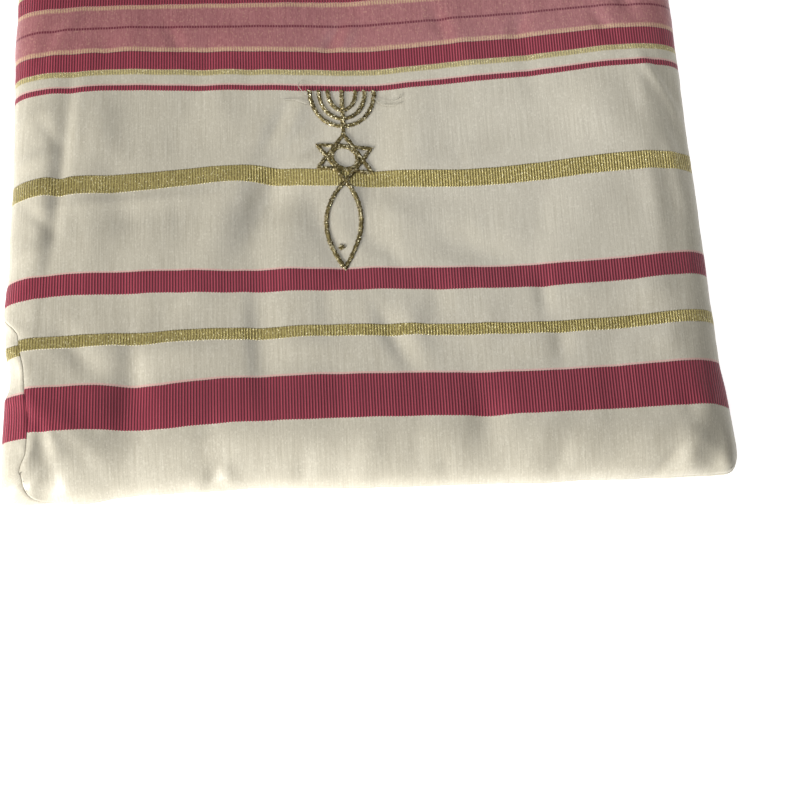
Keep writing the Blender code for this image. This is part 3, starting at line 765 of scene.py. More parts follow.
# The woven cloth's looks. Rates are threads, flecks or glints for each millimetre across and up,
# layers keep the random cells apart, and colours are 8-bit screen values.
Rate = namedtuple("Rate", "across up")
STREAKS = Rate(1.7, 0.05)
FLECKS = Rate(3.2, 2.2)
WEAVE = Rate(1.9, 1.2)
GLINTS = Rate(3.1, 2.1)
PATCHES = Rate(2.2, 0.7)
JAG_FROM = 0.6
JAG_DEPTH = 0.35
RIB_LAYER = 3.0
GLINT_LAYER = 4.0
PATCH_LAYER = 7.0
CREAM = ((181, 174, 155), (206, 200, 182))
BRIGHT_THREAD = (236, 231, 216)
DARK_THREAD = (160, 152, 134)
# Raspberry ribs: painted shade in the grooves, from dark up to the plain raspberry, and a painted
# highlight on the ridges
GROOVE_SHADE_TO_BASE = ((84, 2, 26), (128, 30, 52))
RIDGE_HIGHLIGHT = (198, 84, 100)
# Gold ribs: from painted shade in the grooves up to a painted highlight on the ridges, and a painted
# glint colour
GOLD = ((108, 94, 46), (204, 188, 118))
GOLD_PAINTED_GLINT = (250, 240, 190)
MAUVE = ((138, 78, 82), (182, 122, 122))
MAUVE_THREAD = (220, 176, 150)
TICK = (104, 24, 46)
PALE_GOLD = (210, 182, 140)
BLUSH = (220, 160, 156)
BLUSH_SHARE = 0.65
BEIGE_SHARE = 0.84
RIB_RELIEF = 0.16
WEAVE_RELIEF = 0.10
GLINT_RELIEF = 0.16
CREAM_ROUGHNESS = 0.46
RIB_ROUGHNESS = 0.62
GOLD_SMOOTHER = 0.25
GOLD_METAL = 0.45


# How the looks read their noises: from, to and, where four numbers stand, the values at both ends
CREAM_RANGE = (0.36, 0.64)
BRIGHT_RANGE = (0.8, 1.0)
BRIGHT_SHARE = 0.22
DARK_RANGE = (0.2, 0.0)
DARK_SHARE = 0.2
# Where the raspberry's painted groove shade and painted ridge highlight fall along each rib
GROOVE_SHADE_RANGE = (0.2, 0.62)
RIDGE_HIGHLIGHT_RANGE = (0.84, 1.0)
RIDGE_HIGHLIGHT_SHARE = (0.0, 1.0, 0.55, 1.0)
GRAIN_RANGE = (0.3, 0.7, 0.86, 1.12)
GOLD_RANGE = (0.2, 0.95)
GLINT_RANGE = (0.93, 1.0)
MAUVE_RANGE = (0.3, 0.7)
MAUVE_THREAD_RANGE = (0.84, 1.0)
MAUVE_THREAD_SHARE = 0.24
TICK_RANGE = (0.35, 0.8, 0.35, 1.0)
PALE_RANGE = (0.35, 0.8, 0.05, 0.85)
PATCH_SHARE = 0.14
FLECK_SHARE = 0.45
GLINT_SHARE = 0.4
BAND_SOFTNESS = 0.12
TICK_SOFTNESS = 0.2
BEIGE_SOFTNESS = 0.3
PALE_SOFTNESS = 0.5


def rated(nodes, across, up, rate):
    """A place in the cloth, counted in threads."""
    return nodes.times(across, rate.across), nodes.times(up, rate.up)


def woven_noise(nodes, across, up, rate, detail):
    """Soft noise, drawn out along the threads."""
    return nodes.noise(nodes.combine(*rated(nodes, across, up, rate)), 1.0, detail, 0.6)


def woven_cells(nodes, across, up, rate, layer=0.0):
    """One random number for each cell of the weave."""
    cell = [nodes.math("FLOOR", count) for count in rated(nodes, across, up, rate)]
    return nodes.cells(nodes.combine(*cell, layer))


def between(nodes, share, colours):
    """A blend of two screen colours."""
    return nodes.mix(share, tint(*colours[0]), tint(*colours[1]))


def shared(nodes, a, b, share):
    """A sum of two values, in which b has the given share."""
    return nodes.plus(nodes.times(a, 1.0 - share), nodes.times(b, share))


def cream_looks(nodes, tone, weave):
    """Satin cream with single bright and dark threads."""
    colour = between(nodes, nodes.span(tone, *CREAM_RANGE), CREAM)
    bright = nodes.times(nodes.span(weave, *BRIGHT_RANGE), BRIGHT_SHARE)
    colour = nodes.mix(bright, colour, tint(*BRIGHT_THREAD))
    dark = nodes.times(nodes.span(weave, *DARK_RANGE), DARK_SHARE)
    return nodes.mix(dark, colour, tint(*DARK_THREAD))


def raspberry_looks(nodes, rib, per_rib, fleck):
    """Ribs with a painted highlight on each ridge and painted shade in each groove."""
    groove_shade = between(nodes, nodes.span(rib, *GROOVE_SHADE_RANGE), GROOVE_SHADE_TO_BASE)
    ridge_highlight = nodes.times(nodes.span(rib, *RIDGE_HIGHLIGHT_RANGE), nodes.span(per_rib, *RIDGE_HIGHLIGHT_SHARE))
    colour = nodes.mix(ridge_highlight, groove_shade, tint(*RIDGE_HIGHLIGHT))
    grain = nodes.span(fleck, *GRAIN_RANGE)
    return nodes.mix(1.0, colour, nodes.combine(grain, grain, grain), "MULTIPLY")


def gold_looks(nodes, painted_gold_light, glint):
    """Gold ribs, painted lighter on the ridges and darker in the grooves, with painted glints."""
    colour = between(nodes, nodes.span(painted_gold_light, *GOLD_RANGE), GOLD)
    return nodes.mix(nodes.span(glint, *GLINT_RANGE), colour, tint(*GOLD_PAINTED_GLINT))


def mauve_looks(nodes, across, up, tone, weave, rib, painted_gold_light, ticks, pale):
    """Dusty mauve with a ticked middle line and pale gold edges, whose thread shows in painted
    glints on the rib ridges.
    """
    patch = woven_cells(nodes, across, up, PATCHES, PATCH_LAYER)
    patchy = shared(nodes, tone, patch, PATCH_SHARE)
    colour = between(nodes, nodes.span(patchy, *MAUVE_RANGE), MAUVE)
    thread = nodes.times(nodes.span(weave, *MAUVE_THREAD_RANGE), MAUVE_THREAD_SHARE)
    colour = nodes.mix(thread, colour, tint(*MAUVE_THREAD))
    tick = nodes.times(ticks, nodes.span(rib, *TICK_RANGE))
    colour = nodes.mix(tick, colour, tint(*TICK))
    # The pale gold thread colour is real; it shows where the gold's painted ridge highlight and
    # painted glints are strong
    edge = nodes.times(pale, nodes.span(painted_gold_light, *PALE_RANGE))
    return nodes.mix(edge, colour, tint(*PALE_GOLD))


def striped_cloth():
    """The woven cloth of both panels: satin cream with ribbed raspberry, gold and mauve bands."""
    nodes = Nodes("striped_cloth_looks")
    cloth = nodes.add("ShaderNodeUVMap", uv_map="cloth").outputs["UV"]
    apart = nodes.add("ShaderNodeSeparateXYZ", {0: cloth})
    across, up = apart.outputs[0], apart.outputs[1]
    rib_count = nodes.math("DIVIDE", across, RIB_PITCH)
    rib_number = nodes.math("FLOOR", rib_count)
    rib = nodes.math("SINE", nodes.times(nodes.math("FRACT", rib_count), math.pi))
    per_rib = nodes.cells(nodes.combine(rib_number, RIB_LAYER))
    jag = nodes.times(nodes.math("SUBTRACT", rib, JAG_FROM), JAG_DEPTH)
    place = nodes.plus(up, jag)
    raspberry = band_mask(nodes, place, ("raspberry",), BAND_SOFTNESS)
    gold = band_mask(nodes, place, ("gold",), BAND_SOFTNESS)
    mauve = band_mask(nodes, up, ("mauve", "ticks", "pale"), BAND_SOFTNESS)
    blush = band_mask(nodes, place, ("blush",), BAND_SOFTNESS)
    ticks = band_mask(nodes, up, ("ticks",), TICK_SOFTNESS)
    pale = band_mask(nodes, place, ("pale",), PALE_SOFTNESS)
    beige = band_mask(nodes, place, ("beige",), BEIGE_SOFTNESS)

    fleck = woven_noise(nodes, across, up, FLECKS, 2.0)
    streak = woven_noise(nodes, across, up, STREAKS, 3.0)
    weave = woven_cells(nodes, across, up, WEAVE)
    glint = woven_cells(nodes, across, up, GLINTS, GLINT_LAYER)
    tone = shared(nodes, streak, fleck, FLECK_SHARE)
    # The gold's painted light: the rib's phase lights the ridges and shades the grooves, and the
    # glint cells add painted glints
    painted_gold_light = shared(nodes, rib, glint, GLINT_SHARE)

    gold_colour = gold_looks(nodes, painted_gold_light, glint)
    dusty = mauve_looks(nodes, across, up, tone, weave, rib, painted_gold_light, ticks, pale)
    colour = nodes.mix(mauve, cream_looks(nodes, tone, weave), dusty)
    colour = nodes.mix(nodes.times(blush, BLUSH_SHARE), colour, tint(*BLUSH))
    colour = nodes.mix(raspberry, colour, raspberry_looks(nodes, rib, per_rib, fleck))
    colour = nodes.mix(nodes.times(beige, BEIGE_SHARE), colour, gold_colour)
    colour = nodes.mix(gold, colour, gold_colour)

    ribbed = nodes.math("ADD", raspberry, gold, clamp=True)
    ribs = nodes.times(rib, nodes.times(ribbed, RIB_RELIEF))
    glints = nodes.times(nodes.times(glint, gold), GLINT_RELIEF)
    height = nodes.plus(nodes.plus(ribs, nodes.times(tone, WEAVE_RELIEF)), glints)
    roughness = nodes.span(ribbed, 0.0, 1.0, CREAM_ROUGHNESS, RIB_ROUGHNESS)
    return nodes.shade(
        Base_Color=colour,
        Roughness=nodes.math("SUBTRACT", roughness, nodes.times(gold, GOLD_SMOOTHER)),
        Metallic=nodes.times(gold, GOLD_METAL),
        Normal=nodes.bump(height, MM),
        Sheen_Weight=0.12,
        Sheen_Roughness=0.45,
        Specular_IOR_Level=0.6,
    )


# Other looks: colours are 8-bit screen values, reliefs are in millimetres
SHAWL_CLOTH = ((186, 178, 158), (214, 208, 192))
TAPE_CLOTH = ((178, 171, 152), (206, 200, 182))
LOOSE_THREAD = ((150, 146, 128), (188, 184, 168))
HEM_THREAD = ((196, 190, 172), (224, 219, 204))
NYLON = ((196, 189, 170), (216, 210, 194))
ZIP_METAL = ((168, 146, 92), (206, 186, 132))
EMBLEM_GOLD = ((66, 55, 28), (158, 142, 92))
EMBLEM_BLOTCH = (104, 92, 50)
# A painted glint colour for the emblem thread's brightest specks
EMBLEM_PAINTED_GLINT = (240, 230, 192)
SHAWL_PITCH = 0.5
TAPE_PITCH = 0.6
CLOTH_RELIEF = 0.15
EMBLEM_RELIEF = 0.12
THREAD_RELIEF = 0.05
NYLON_RELIEF = 0.04
METAL_RELIEF = 0.03

# How fine the noises are, for each metre
CLOTH_BLOTCHES = 180.0
EMBLEM_SPECKS = 1900.0
EMBLEM_BLOTCHES = 500.0
THREAD_BLOTCHES = 1400.0
NYLON_BLOTCHES = 420.0
METAL_WEAR = 260.0
METAL_SCRATCHES = 1500.0
FLOOR_BLOTCHES = 3.0


# How these looks read their noises, as above
WOVEN_SHARE = 0.25
CLOTH_RANGE = (0.25, 0.8)
EMBLEM_RANGE = (0.1, 0.9)
EMBLEM_BLOTCH_RANGE = (0.4, 0.7)
EMBLEM_PAINTED_GLINT_RANGE = (0.78, 0.88)
EMBLEM_ROUGHNESS = (0.0, 1.0, 0.55, 0.25)
BLOTCH_RANGE = (0.35, 0.65)
WEAR_RANGE = (0.35, 0.7)
WEAR_ROUGHNESS = (0.3, 0.7, 0.24, 0.42)


def plain_cloth(name, colours, pitch):
    """A plain woven cloth, by object coordinates."""
    nodes = Nodes(name)
    place = nodes.object_place()
    apart = nodes.add("ShaderNodeSeparateXYZ", {0: place})
    rate = 2.0 * math.pi / (pitch * MM)
    warp = nodes.math("SINE", nodes.times(apart.outputs[0], rate))
    weft = nodes.math("SINE", nodes.times(apart.outputs[1], rate))
    woven = nodes.times(warp, weft)
    tone = nodes.plus(nodes.times(woven, WOVEN_SHARE), nodes.noise(place, CLOTH_BLOTCHES, 3.0))
    return nodes.shade(
        Base_Color=between(nodes, nodes.span(tone, *CLOTH_RANGE), colours),
        Roughness=0.8,
        Normal=nodes.bump(tone, CLOTH_RELIEF * MM),
        Sheen_Weight=0.1,
    )


def glitter_thread():
    """The dark gold metallic thread of the emblem, with painted glints on its brightest specks."""
    nodes = Nodes("emblem_thread")
    place = nodes.object_place()
    speck = nodes.add("ShaderNodeTexVoronoi", {"Vector": place, "Scale": EMBLEM_SPECKS})
    bright = nodes.add("ShaderNodeSeparateColor", {0: speck.outputs["Color"]}).outputs[0]
    blotch = nodes.noise(place, EMBLEM_BLOTCHES)
    colour = between(nodes, nodes.span(bright, *EMBLEM_RANGE), EMBLEM_GOLD)
    dull = nodes.span(blotch, *EMBLEM_BLOTCH_RANGE)
    # Painted glints on the brightest specks
    painted_glint = nodes.span(bright, *EMBLEM_PAINTED_GLINT_RANGE)
    colour = nodes.mix(dull, colour, tint(*EMBLEM_BLOTCH))
    return nodes.shade(
        Base_Color=nodes.mix(painted_glint, colour, tint(*EMBLEM_PAINTED_GLINT)),
        Metallic=0.6,
        Roughness=nodes.span(bright, *EMBLEM_ROUGHNESS),
        Normal=nodes.bump(bright, EMBLEM_RELIEF * MM),
    )


def fine_thread(name, colours):
    """A plain spun thread."""
    nodes = Nodes(name)
    blotch = nodes.noise(nodes.object_place(), THREAD_BLOTCHES)
    return nodes.shade(
        Base_Color=between(nodes, nodes.span(blotch, *BLOTCH_RANGE), colours),
        Roughness=0.6,
        Sheen_Weight=0.2,
        Normal=nodes.bump(blotch, THREAD_RELIEF * MM),
    )


def zip_metal():
    """Cast and plated zip metal, a little worn."""
    nodes = Nodes("zip_metal_looks")
    place = nodes.object_place()
    wear = nodes.noise(place, METAL_WEAR, 4.0, 0.6)
    scratch = nodes.noise(place, METAL_SCRATCHES, 2.0, 0.7)
    return nodes.shade(
        Base_Color=between(nodes, nodes.span(wear, *WEAR_RANGE), ZIP_METAL),
        Metallic=1.0,
        Roughness=nodes.span(wear, *WEAR_ROUGHNESS),
        Normal=nodes.bump(scratch, METAL_RELIEF * MM),
    )


def moulded_nylon():
    """The coil of the zip."""
    nodes = Nodes("zip_coil_looks")
    blotch = nodes.noise(nodes.object_place(), NYLON_BLOTCHES, 3.0)
    return nodes.shade(
        Base_Color=between(nodes, nodes.span(blotch, *BLOTCH_RANGE), NYLON),
        Roughness=0.38,
        Normal=nodes.bump(blotch, NYLON_RELIEF * MM),
    )


def ring_faces(rings, sides):
    """Faces between rings of points, closed at both ends."""
    faces = []
    for row in range(rings - 1):
        for k in range(sides):
            a = row * sides + k
            b = row * sides + (k + 1) % sides
            faces.append((b, a, a + sides, b + sides))
    last = (rings - 1) * sides
    faces.append(tuple(range(sides)))
    faces.append(tuple(last + k for k in reversed(range(sides))))
    return faces


def tube(path, radii, sides=6, flat=1.0, over=None):
    """Points and faces of a closed tube along a path, in millimetres."""
    path = np.asarray(path, float)
    radii = np.broadcast_to(np.asarray(radii, float), (len(path),))
    tangents = unit(np.gradient(path, axis=0))
    reference = np.array([0.0, 0.0, 1.0]) if over is None else np.asarray(over, float)
    side = unit(np.cross(tangents, reference))
    top = np.cross(side, tangents)
    angles = np.arange(sides) * 2.0 * math.pi / sides
    ring = np.cos(angles)[None, :, None] * side[:, None, :]
    ring = ring + flat * np.sin(angles)[None, :, None] * top[:, None, :]
    points = (path[:, None, :] + ring * radii[:, None, None]).reshape(-1, 3)
    return points, ring_faces(len(path), sides)


def join_parts(name, parts, material):
    """One object from several lists of points and faces."""
    points, faces, start = [], [], 0
    for some_points, some_faces in parts:
        points.append(some_points)
        faces.extend([tuple(start + k for k in face) for face in some_faces])
        start += len(some_points)
    return mesh_from(name, np.concatenate(points), faces, material)


class Surface:
    """Reads places on a panel's cloth by its unbent grid."""

    def __init__(self, surface):
        self.points, self.normals = surface[0], surface[1]
        self.columns = stations(BAG_WIDTH)
        self.rows = stations(BAG_HEIGHT)

    def read(self, grid, u, v):
        i = np.clip(np.searchsorted(self.columns, u) - 1, 0, len(self.columns) - 2)
        j = np.clip(np.searchsorted(self.rows, v) - 1, 0, len(self.rows) - 2)
        s = ((u - self.columns[i]) / (self.columns[i + 1] - self.columns[i]))[..., None]
        t = ((v - self.rows[j]) / (self.rows[j + 1] - self.rows[j]))[..., None]
        low = grid[i, j] * (1 - s) + grid[i + 1, j] * s
        high = grid[i, j + 1] * (1 - s) + grid[i + 1, j + 1] * s
        return low * (1 - t) + high * t

    def at(self, u, v, lift=0.0):
        u, v = np.broadcast_arrays(np.asarray(u, float), np.asarray(v, float))
        normal = self.read(self.normals, u, v)
        return self.read(self.points, u, v) + normal * np.asarray(lift)[..., None]


def on_cloth(surface, path, lift):
    """Points of a flat path (across, up) at a height over the cloth."""
    return surface.at(path[:, 0], path[:, 1] - BAG_HEIGHT / 2, lift)


def evenly(path, step):
    """A flat path's points at even distances."""
    path = np.asarray(path, float)
    lengths = np.hypot(*np.diff(path, axis=0).T)
    distance = np.concatenate([[0.0], np.cumsum(lengths)])
    count = max(2, int(round(distance[-1] / step)) + 1)
    at = np.linspace(0.0, distance[-1], count)
    return np.stack([np.interp(at, distance, path[:, k]) for k in (0, 1)], axis=1)


# The emblem, in millimetres on the cloth: a seven-branched lamp over a six-pointed star over a fish
EMBLEM_ACROSS = -2.8
EMBLEM_SLANT = -0.055
STAR_SLANT = -0.13
LAMP_TOP = 173.0
LAMP_FOOT = 151.6
LAMP_ARMS = ((13.3, 17.2), (9.5, 13.6), (5.7, 9.5))
STAR_MIDDLE = 140.6
STAR_WIDTH_RADIUS = 12.6
STAR_HEIGHT_RADIUS = 11.2
STAR_RING = 5.2
FISH_TOP = 129.4
FISH_NOSE = 89.6
FISH_HALF = 7.0
FISH_LEAN = -1.9
FISH_ASIDE = -0.6
EYE_UP = 99.2
EYE_ASIDE = -3.0
EYE_RADIUS = 0.6
EYE_LINE_WIDTH = 1.25
LINE_WIDTH = 1.85
STITCH_PITCH = 0.68
STITCH_LEAN = 0.75
STITCH_RADIUS = 0.27
STITCH_TAPER = 0.35
STITCH_POINTS = 6
STEM_POINTS = 20
ARM_POINTS = 33
CURVE_POINTS = 40
EYE_POINTS = 14

# How much single stitches differ in width, lean, rise and thickness
WIDTH_DRAW = (0.72, 1.2)
LEAN_DRAW = (0.7, 1.3)
RISE_DRAW = (0.9, 1.12)
RADIUS_DRAW = (0.85, 1.15)

# A stitch's arch over the cloth, and the low core under the stitches
ARCH_FOOT = 0.08
ARCH_RISE = 0.38
CORE_LIFT = 0.12
CORE_SHARE = 0.42
CORE_FLATNESS = 0.6

# The fish's sides are a sine, blunter and a little higher than a plain one
FISH_BLUNTNESS = 0.9
FISH_RISE = 0.92


def emblem_lines():
    """The emblem's lines as flat paths (across, up), worked out from its sizes."""
    lines = []
    turn = np.linspace(0.0, math.pi, ARM_POINTS)
    for half, drop in LAMP_ARMS:
        lines.append((half * np.cos(turn), LAMP_TOP - drop * np.sin(turn), EMBLEM_SLANT))
    stem = np.linspace(LAMP_TOP, LAMP_FOOT, STEM_POINTS)
    lines.append((np.zeros(STEM_POINTS), stem, EMBLEM_SLANT))
    for first in (90.0, 270.0):
        angles = np.radians(first + np.array([0.0, 120.0, 240.0, 360.0]))
        x = STAR_WIDTH_RADIUS * np.cos(angles)
        y = STAR_MIDDLE + STAR_HEIGHT_RADIUS * np.sin(angles)
        lines.append((x, y, STAR_SLANT))
    ring = np.linspace(0.0, 2.0 * math.pi, CURVE_POINTS)
    lines.append((STAR_RING * np.cos(ring), STAR_MIDDLE + STAR_RING * np.sin(ring), STAR_SLANT))
    down = np.linspace(0.0, 1.0, CURVE_POINTS)
    y = FISH_TOP + (FISH_NOSE - FISH_TOP) * down
    for sign in (-1.0, 1.0):
        x = sign * FISH_HALF * np.sin(math.pi * down**FISH_RISE) ** FISH_BLUNTNESS
        x = x + FISH_LEAN * down + FISH_ASIDE * np.sin(math.pi * down)
        lines.append((x, y, EMBLEM_SLANT))
    return [np.stack([x + EMBLEM_ACROSS, y + x * slant], axis=1) for x, y, slant in lines]


def stitched_line(surface, path, width, draw):
    """Slanting stitches side by side over a flat path, with a low core under them."""
    steps = evenly(path, STITCH_PITCH)
    tangents = unit(np.gradient(steps, axis=0))
    sides = np.stack([-tangents[:, 1], tangents[:, 0]], axis=1)
    parts = []
    core = on_cloth(surface, steps, CORE_LIFT)
    parts.append(tube(core, width * CORE_SHARE, sides=8, flat=CORE_FLATNESS))
    share = np.linspace(-1.0, 1.0, STITCH_POINTS)
    arch = ARCH_FOOT + ARCH_RISE * np.sqrt(np.clip(1.0 - share**2, 0.0, 1.0))
    for step, tangent, side in zip(steps, tangents, sides):
        half = width / 2 * draw.uniform(*WIDTH_DRAW)
        lean = STITCH_LEAN * draw.uniform(*LEAN_DRAW)
        flat = step + np.outer(share * half, side) + np.outer(share * lean, tangent)
        rise = arch * draw.uniform(*RISE_DRAW)
        thread = on_cloth(surface, flat, rise)
        radii = STITCH_RADIUS * draw.uniform(*RADIUS_DRAW) * (1.0 - STITCH_TAPER * share**4)
        parts.append(tube(thread, radii, sides=5))
    return parts


def emblem(surface, material):
    """The stitched emblem."""
    draw = random.Random(SEEDS["emblem"])
    parts = []
    for path in emblem_lines():
        parts += stitched_line(surface, path, LINE_WIDTH, draw)
    eye = np.linspace(0.0, 2.0 * math.pi, EYE_POINTS)
    x = EMBLEM_ACROSS + EYE_ASIDE + EYE_RADIUS * np.cos(eye)
    y = EYE_UP + EYE_RADIUS * np.sin(eye)
    parts += stitched_line(surface, np.stack([x, y], axis=1), EYE_LINE_WIDTH, draw)
    return join_parts("emblem", parts, material)


# Loose thread ends beside the emblem: points (across, up, lift) that a smooth thread passes
LOOSE_THREADS = (
    (
        (9.0, 170.5, 0.3),
        (11.5, 167.6, 0.9),
        (16.0, 166.0, 1.2),
        (20.5, 167.3, 0.9),
        (21.5, 170.0, 0.5),
    ),
    ((10.0, 168.6, 0.3), (13.5, 165.6, 0.6), (18.0, 164.6, 0.8), (22.0, 165.9, 0.3)),
    ((-15.8, 170.4, 0.3), (-18.4, 172.5, 0.9), (-20.6, 175.8, 1.0), (-19.8, 178.8, 0.4)),
    ((-15.2, 168.0, 0.3), (-18.0, 167.4, 0.7), (-22.5, 169.6, 0.6), (-27.0, 170.0, 0.3)),
)
LOOSE_RADIUS = 0.11
LOOSE_POINTS = 32


def smooth_path(points, count):
    """A smooth curve through the points."""
    points = np.asarray(points, float)
    before = 2 * points[:1] - points[1:2]
    after = 2 * points[-1:] - points[-2:-1]
    padded = np.concatenate([before, points, after])
    out = []
    per = max(2, count // (len(points) - 1))
    for k in range(1, len(padded) - 2):
        p0, p1, p2, p3 = padded[k - 1 : k + 3]
        for t in np.linspace(0.0, 1.0, per, endpoint=False):
            square = (2 * p0 - 5 * p1 + 4 * p2 - p3) * t**2
            cube = (3 * p1 - p0 - 3 * p2 + p3) * t**3
            out.append(0.5 * (2 * p1 + (p2 - p0) * t + square + cube))
    out.append(points[-1])
    return np.array(out)


def loose_threads(surface, material):
    """Fine thread ends that lie beside the emblem."""
    parts = []
    for points in LOOSE_THREADS:
        path = smooth_path(points, LOOSE_POINTS)
        line = on_cloth(surface, path, path[:, 2])
        parts.append(tube(line, LOOSE_RADIUS, sides=5))
    return join_parts("loose_threads", parts, material)


# Zip: the coil that replaces the chain's block, and the rows of stitches beside the opening
COIL_PITCH = 1.3
COIL_WIRE = 0.28
COIL_OVERLAP = 0.35
COIL_CORE = 0.42
COIL_STEPS = 14
COIL_CORE_STEPS = 60
HEM_STITCH = 2.5
HEM_STITCH_GAP = 0.55
HEM_STITCH_RADIUS = 0.17
HEM_SETBACK = 0.90
HEM_END = 4.0
HEM_SLIP = 0.12
HEM_SINK = -0.12
HEM_RISE = 0.24
HEM_ROUNDNESS = 0.6


def zip_coil(material):
    """Two interlocked coils in the room of the chain's block."""
    low, high = (np.array(corner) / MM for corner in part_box("zip_chain"))
    middle = (low + high) / 2
    half = (high - low) / 2
    turns = (high[0] - low[0] - 2 * COIL_WIRE) / COIL_PITCH
    parts = []
    for sign in (-1.0, 1.0):
        angle = np.linspace(0.0, 2.0 * math.pi * turns, int(turns * COIL_STEPS))
        reach = (half[2] + COIL_OVERLAP) / 2 - COIL_WIRE
        centre_z = middle[2] + sign * (half[2] - COIL_WIRE - reach)
        shift = 0.0 if sign < 0 else COIL_PITCH / 2
        x = low[0] + COIL_WIRE + (angle / (2.0 * math.pi)) * COIL_PITCH + shift
        keep = x < high[0] - COIL_WIRE
        x, angle = x[keep], angle[keep]
        z = centre_z + sign * reach * np.cos(angle)
        y = middle[1] + (half[1] - COIL_WIRE) * np.sin(angle)
        wire = np.stack([x, y, z], axis=1)
        parts.append(tube(wire, COIL_WIRE, sides=6, over=(1.0, 0.0, 0.0)))
        core_x = np.linspace(low[0] + COIL_WIRE, high[0] - COIL_WIRE, COIL_CORE_STEPS)
        ones = np.ones(COIL_CORE_STEPS)
        core = np.stack([core_x, middle[1] * ones, centre_z * ones], axis=1)
        parts.append(tube(core, COIL_CORE, sides=8))
    return join_parts("zip_coil", parts, material)


def hem_stitches(front, back, material):
    """A row of stitches along the cloth's edge on each side of the zip."""
    draw = random.Random(SEEDS["hem"])
    parts = []
    v = BAG_HEIGHT / 2 - BORDER + BORDER * HEM_SETBACK
    for surface in (front, back):
        x = -ZIP_LENGTH / 2 + HEM_END
        while x < ZIP_LENGTH / 2 - HEM_END:
            share = np.linspace(0.0, 1.0, STITCH_POINTS)
            along = x + HEM_STITCH * share
            slip = draw.uniform(-HEM_SLIP, HEM_SLIP)
            lift = HEM_SINK + HEM_RISE * np.sin(math.pi * share) ** HEM_ROUNDNESS
            line = surface.at(along, v + slip, lift)
            parts.append(tube(line, HEM_STITCH_RADIUS, sides=6, over=(0.0, 1.0, 0.0)))
            x += HEM_STITCH + HEM_STITCH_GAP
    return join_parts("zip_hem_stitches", parts, material)


# Folded shawl inside the bag: its layers, how far its upper and lower edges round in, how deep the
# folds between layers are, and the rings (up, in) that close its top
SHAWL_LAYERS = 6
SHAWL_STEPS = 5
SHAWL_CLEARANCE = 0.2
SHAWL_HEADROOM = 1.9
SHAWL_ROUND_OVER = 6.4
SHAWL_ROUND_UNDER = 2.8
SHAWL_FOLD_DEPTH = 0.7
SHAWL_SQUARENESS = 14.0
SHAWL_POINTS = 240
SHAWL_WOBBLE = 0.35
SHAWL_WOBBLE_RATE = 9.0
SHAWL_UNDER_REACH = 60.0
SHAWL_CLOSING = ((0.5, 14.0), (1.1, 40.0), (1.4, 80.0))


def shawl_rings(bottom, height):
    """Height and inset of each ring of the folded shawl, from the bottom up."""
    rings = []
    for level in range(SHAWL_LAYERS * SHAWL_STEPS + 1):
        share = level / (SHAWL_LAYERS * SHAWL_STEPS)
        in_layer = (level % SHAWL_STEPS) / SHAWL_STEPS
        bulge = abs(math.sin(math.pi * in_layer)) ** 0.5
        lean = 2.0 * share - 1.0
        rounding = SHAWL_ROUND_OVER if lean > 0 else SHAWL_ROUND_UNDER
        inset = rounding * (1.0 - math.sqrt(max(0.0, 1.0 - lean**2)))
        rings.append((bottom + share * height, inset + SHAWL_FOLD_DEPTH * (1.0 - bulge)))
    first_z, first_inset = rings[0]
    last_z, last_inset = rings[-1]
    closing = [(last_z + rise, last_inset + reach) for rise, reach in SHAWL_CLOSING]
    return [(first_z, first_inset + SHAWL_UNDER_REACH)] + rings + closing


def folded_shawl(material):
    """The folded shawl, a soft stack whose folds show as round edges."""
    low, high = (np.array(corner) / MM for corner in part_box("folded_shawl"))
    middle = (low + high) / 2
    half = (high - low) / 2 - SHAWL_CLEARANCE
    rings = shawl_rings(low[2], high[2] - low[2] - SHAWL_HEADROOM)
    angle = np.linspace(0.0, 2.0 * math.pi, SHAWL_POINTS, endpoint=False)
    corner = np.abs(np.cos(angle)) ** SHAWL_SQUARENESS + np.abs(np.sin(angle)) ** SHAWL_SQUARENESS
    unit = corner ** (-1.0 / SHAWL_SQUARENESS)
    shape_x, shape_y = unit * np.cos(angle), unit * np.sin(angle)
    points = []
    for z, inset in rings:
        wobble = SHAWL_WOBBLE * wave(angle * SHAWL_WOBBLE_RATE + z, "shawl")
        x = middle[0] + shape_x * (half[0] - inset - wobble)
        y = middle[1] + shape_y * (half[1] - inset - wobble)
        points.append(np.stack([x, y, np.full(SHAWL_POINTS, z)], axis=1))
    faces = [face[::-1] for face in ring_faces(len(rings), SHAWL_POINTS)]
    return mesh_from("shawl_stack", np.concatenate(points), faces, material)


# Camera, light and floor, in metres but for the floor's own sizes
TARGET = (0.0134, -0.0864, 0.0)
DISTANCE = 0.7464
TILT = 25.0
AZIMUTH = -2.99
LENS = 85.26
SENSOR = 36.0
CLIP = (0.01, 50.0)


def set_camera():
    """The camera at the photograph's angle."""
    tilt, turn = math.radians(TILT), math.radians(AZIMUTH)
    level = Vector((math.sin(turn), -math.cos(turn), 0.0))
    back = level * math.sin(tilt) + Vector((0.0, 0.0, math.cos(tilt)))
    right = Vector((math.cos(turn), math.sin(turn), 0.0))
    rotation = Matrix((right, back.cross(right), back)).transposed()
    data = bpy.data.cameras.new("camera")
    data.lens = LENS
    data.sensor_width = SENSOR
    data.clip_start, data.clip_end = CLIP
    camera = add_object("camera", data)
    camera.matrix_world = Matrix.Translation(Vector(TARGET) + back * DISTANCE) @ rotation.to_4x4()
    bpy.context.scene.camera = camera


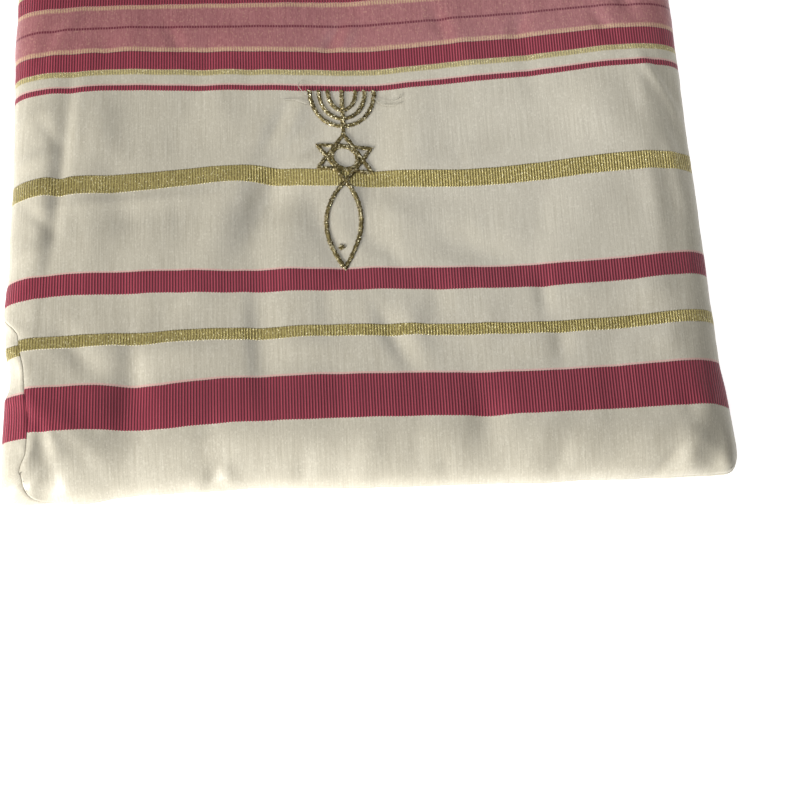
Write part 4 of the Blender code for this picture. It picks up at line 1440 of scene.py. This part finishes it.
Lamp = namedtuple("Lamp", "name place aim size power colour")
LAMPS = (
    Lamp("key_light", (-1.12, -0.88, 0.46), (0.0, 0.0, 0.0), 0.5, 36.4, (1.0, 0.99, 0.98)),
    Lamp("top_light", (0.11, 0.15, 0.32), (0.11, 0.13, 0.0), 0.2, 0.42, (0.97, 0.98, 1.0)),
)
SKY = 0.2
WHITE = (1.0, 1.0, 1.0, 1.0)
FLOOR_TONES = ((0.90, 0.90, 0.90, 1.0), (0.92, 0.92, 0.92, 1.0))
FLOOR_GLOW = 0.7
FLOOR_HALF = 3000.0
FLOOR_DROP = 0.1


def set_lights():
    """Soft studio light, strongest from the lower left."""
    for lamp in LAMPS:
        towards = Vector(lamp.place) - Vector(lamp.aim)
        data = bpy.data.lights.new(lamp.name, "AREA")
        data.shape = "DISK"
        data.size = lamp.size
        data.energy = lamp.power
        data.color = lamp.colour
        light = add_object(lamp.name, data)
        light.location = lamp.place
        light.rotation_mode = "QUATERNION"
        light.rotation_quaternion = towards.to_track_quat("Z", "Y")
        light.visible_camera = False
    world = bpy.data.worlds.new("studio")
    world.use_nodes = True
    background = world.node_tree.nodes["Background"]
    background.inputs["Color"].default_value = WHITE
    background.inputs["Strength"].default_value = SKY
    bpy.context.scene.world = world
    bpy.context.scene.view_settings.view_transform = "Standard"


def set_floor():
    """A plain pale floor."""
    nodes = Nodes("floor_looks")
    blotch = nodes.noise(nodes.object_place(), FLOOR_BLOTCHES)
    looks = nodes.shade(
        Base_Color=nodes.mix(blotch, *FLOOR_TONES),
        Roughness=0.9,
        Emission_Color=WHITE,
        Emission_Strength=FLOOR_GLOW,
    )
    signs = ((-1, -1), (1, -1), (1, 1), (-1, 1))
    corners = [(x * FLOOR_HALF, y * FLOOR_HALF, 0.0) for x, y in signs]
    floor = mesh_from("floor", corners, [(0, 1, 2, 3)], looks, smooth=False)
    floor.location.z = -FLOOR_DROP * MM


def dress(node, material):
    """Give a CAD node its procedural material."""
    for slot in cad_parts[node].material_slots:
        slot.material = material


def build():
    """Everything that shows."""
    cloth = striped_cloth()
    front_surface = panel_surface("front")
    back_surface = panel_surface("back")
    front = cloth_shell("front_cloth", "front", front_surface, cloth)
    back = cloth_shell("back_cloth", "back", back_surface, cloth)
    for piece, node in ((front, "front_panel"), (back, "back_panel")):
        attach(piece, "bag")
        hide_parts(node)
    front_places, back_places = Surface(front_surface), Surface(back_surface)
    sewn = emblem(front_places, glitter_thread())
    loose = loose_threads(front_places, fine_thread("loose_thread", LOOSE_THREAD))
    hem = hem_stitches(front_places, back_places, fine_thread("hem_thread", HEM_THREAD))
    for piece in (sewn, loose, hem):
        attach(piece, "bag")
    coil = zip_coil(moulded_nylon())
    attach(coil, "bag")
    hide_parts("zip_chain")
    shawl = folded_shawl(plain_cloth("shawl_cloth_looks", SHAWL_CLOTH, SHAWL_PITCH))
    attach(shawl, "bag")
    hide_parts("folded_shawl")
    tape = plain_cloth("zip_tape_looks", TAPE_CLOTH, TAPE_PITCH)
    dress("zip_tape_front", tape)
    dress("zip_tape_back", tape)
    metal = zip_metal()
    dress("zip_slider", metal)
    dress("zip_pull_tab", metal)


set_camera()
set_lights()
set_floor()
build()
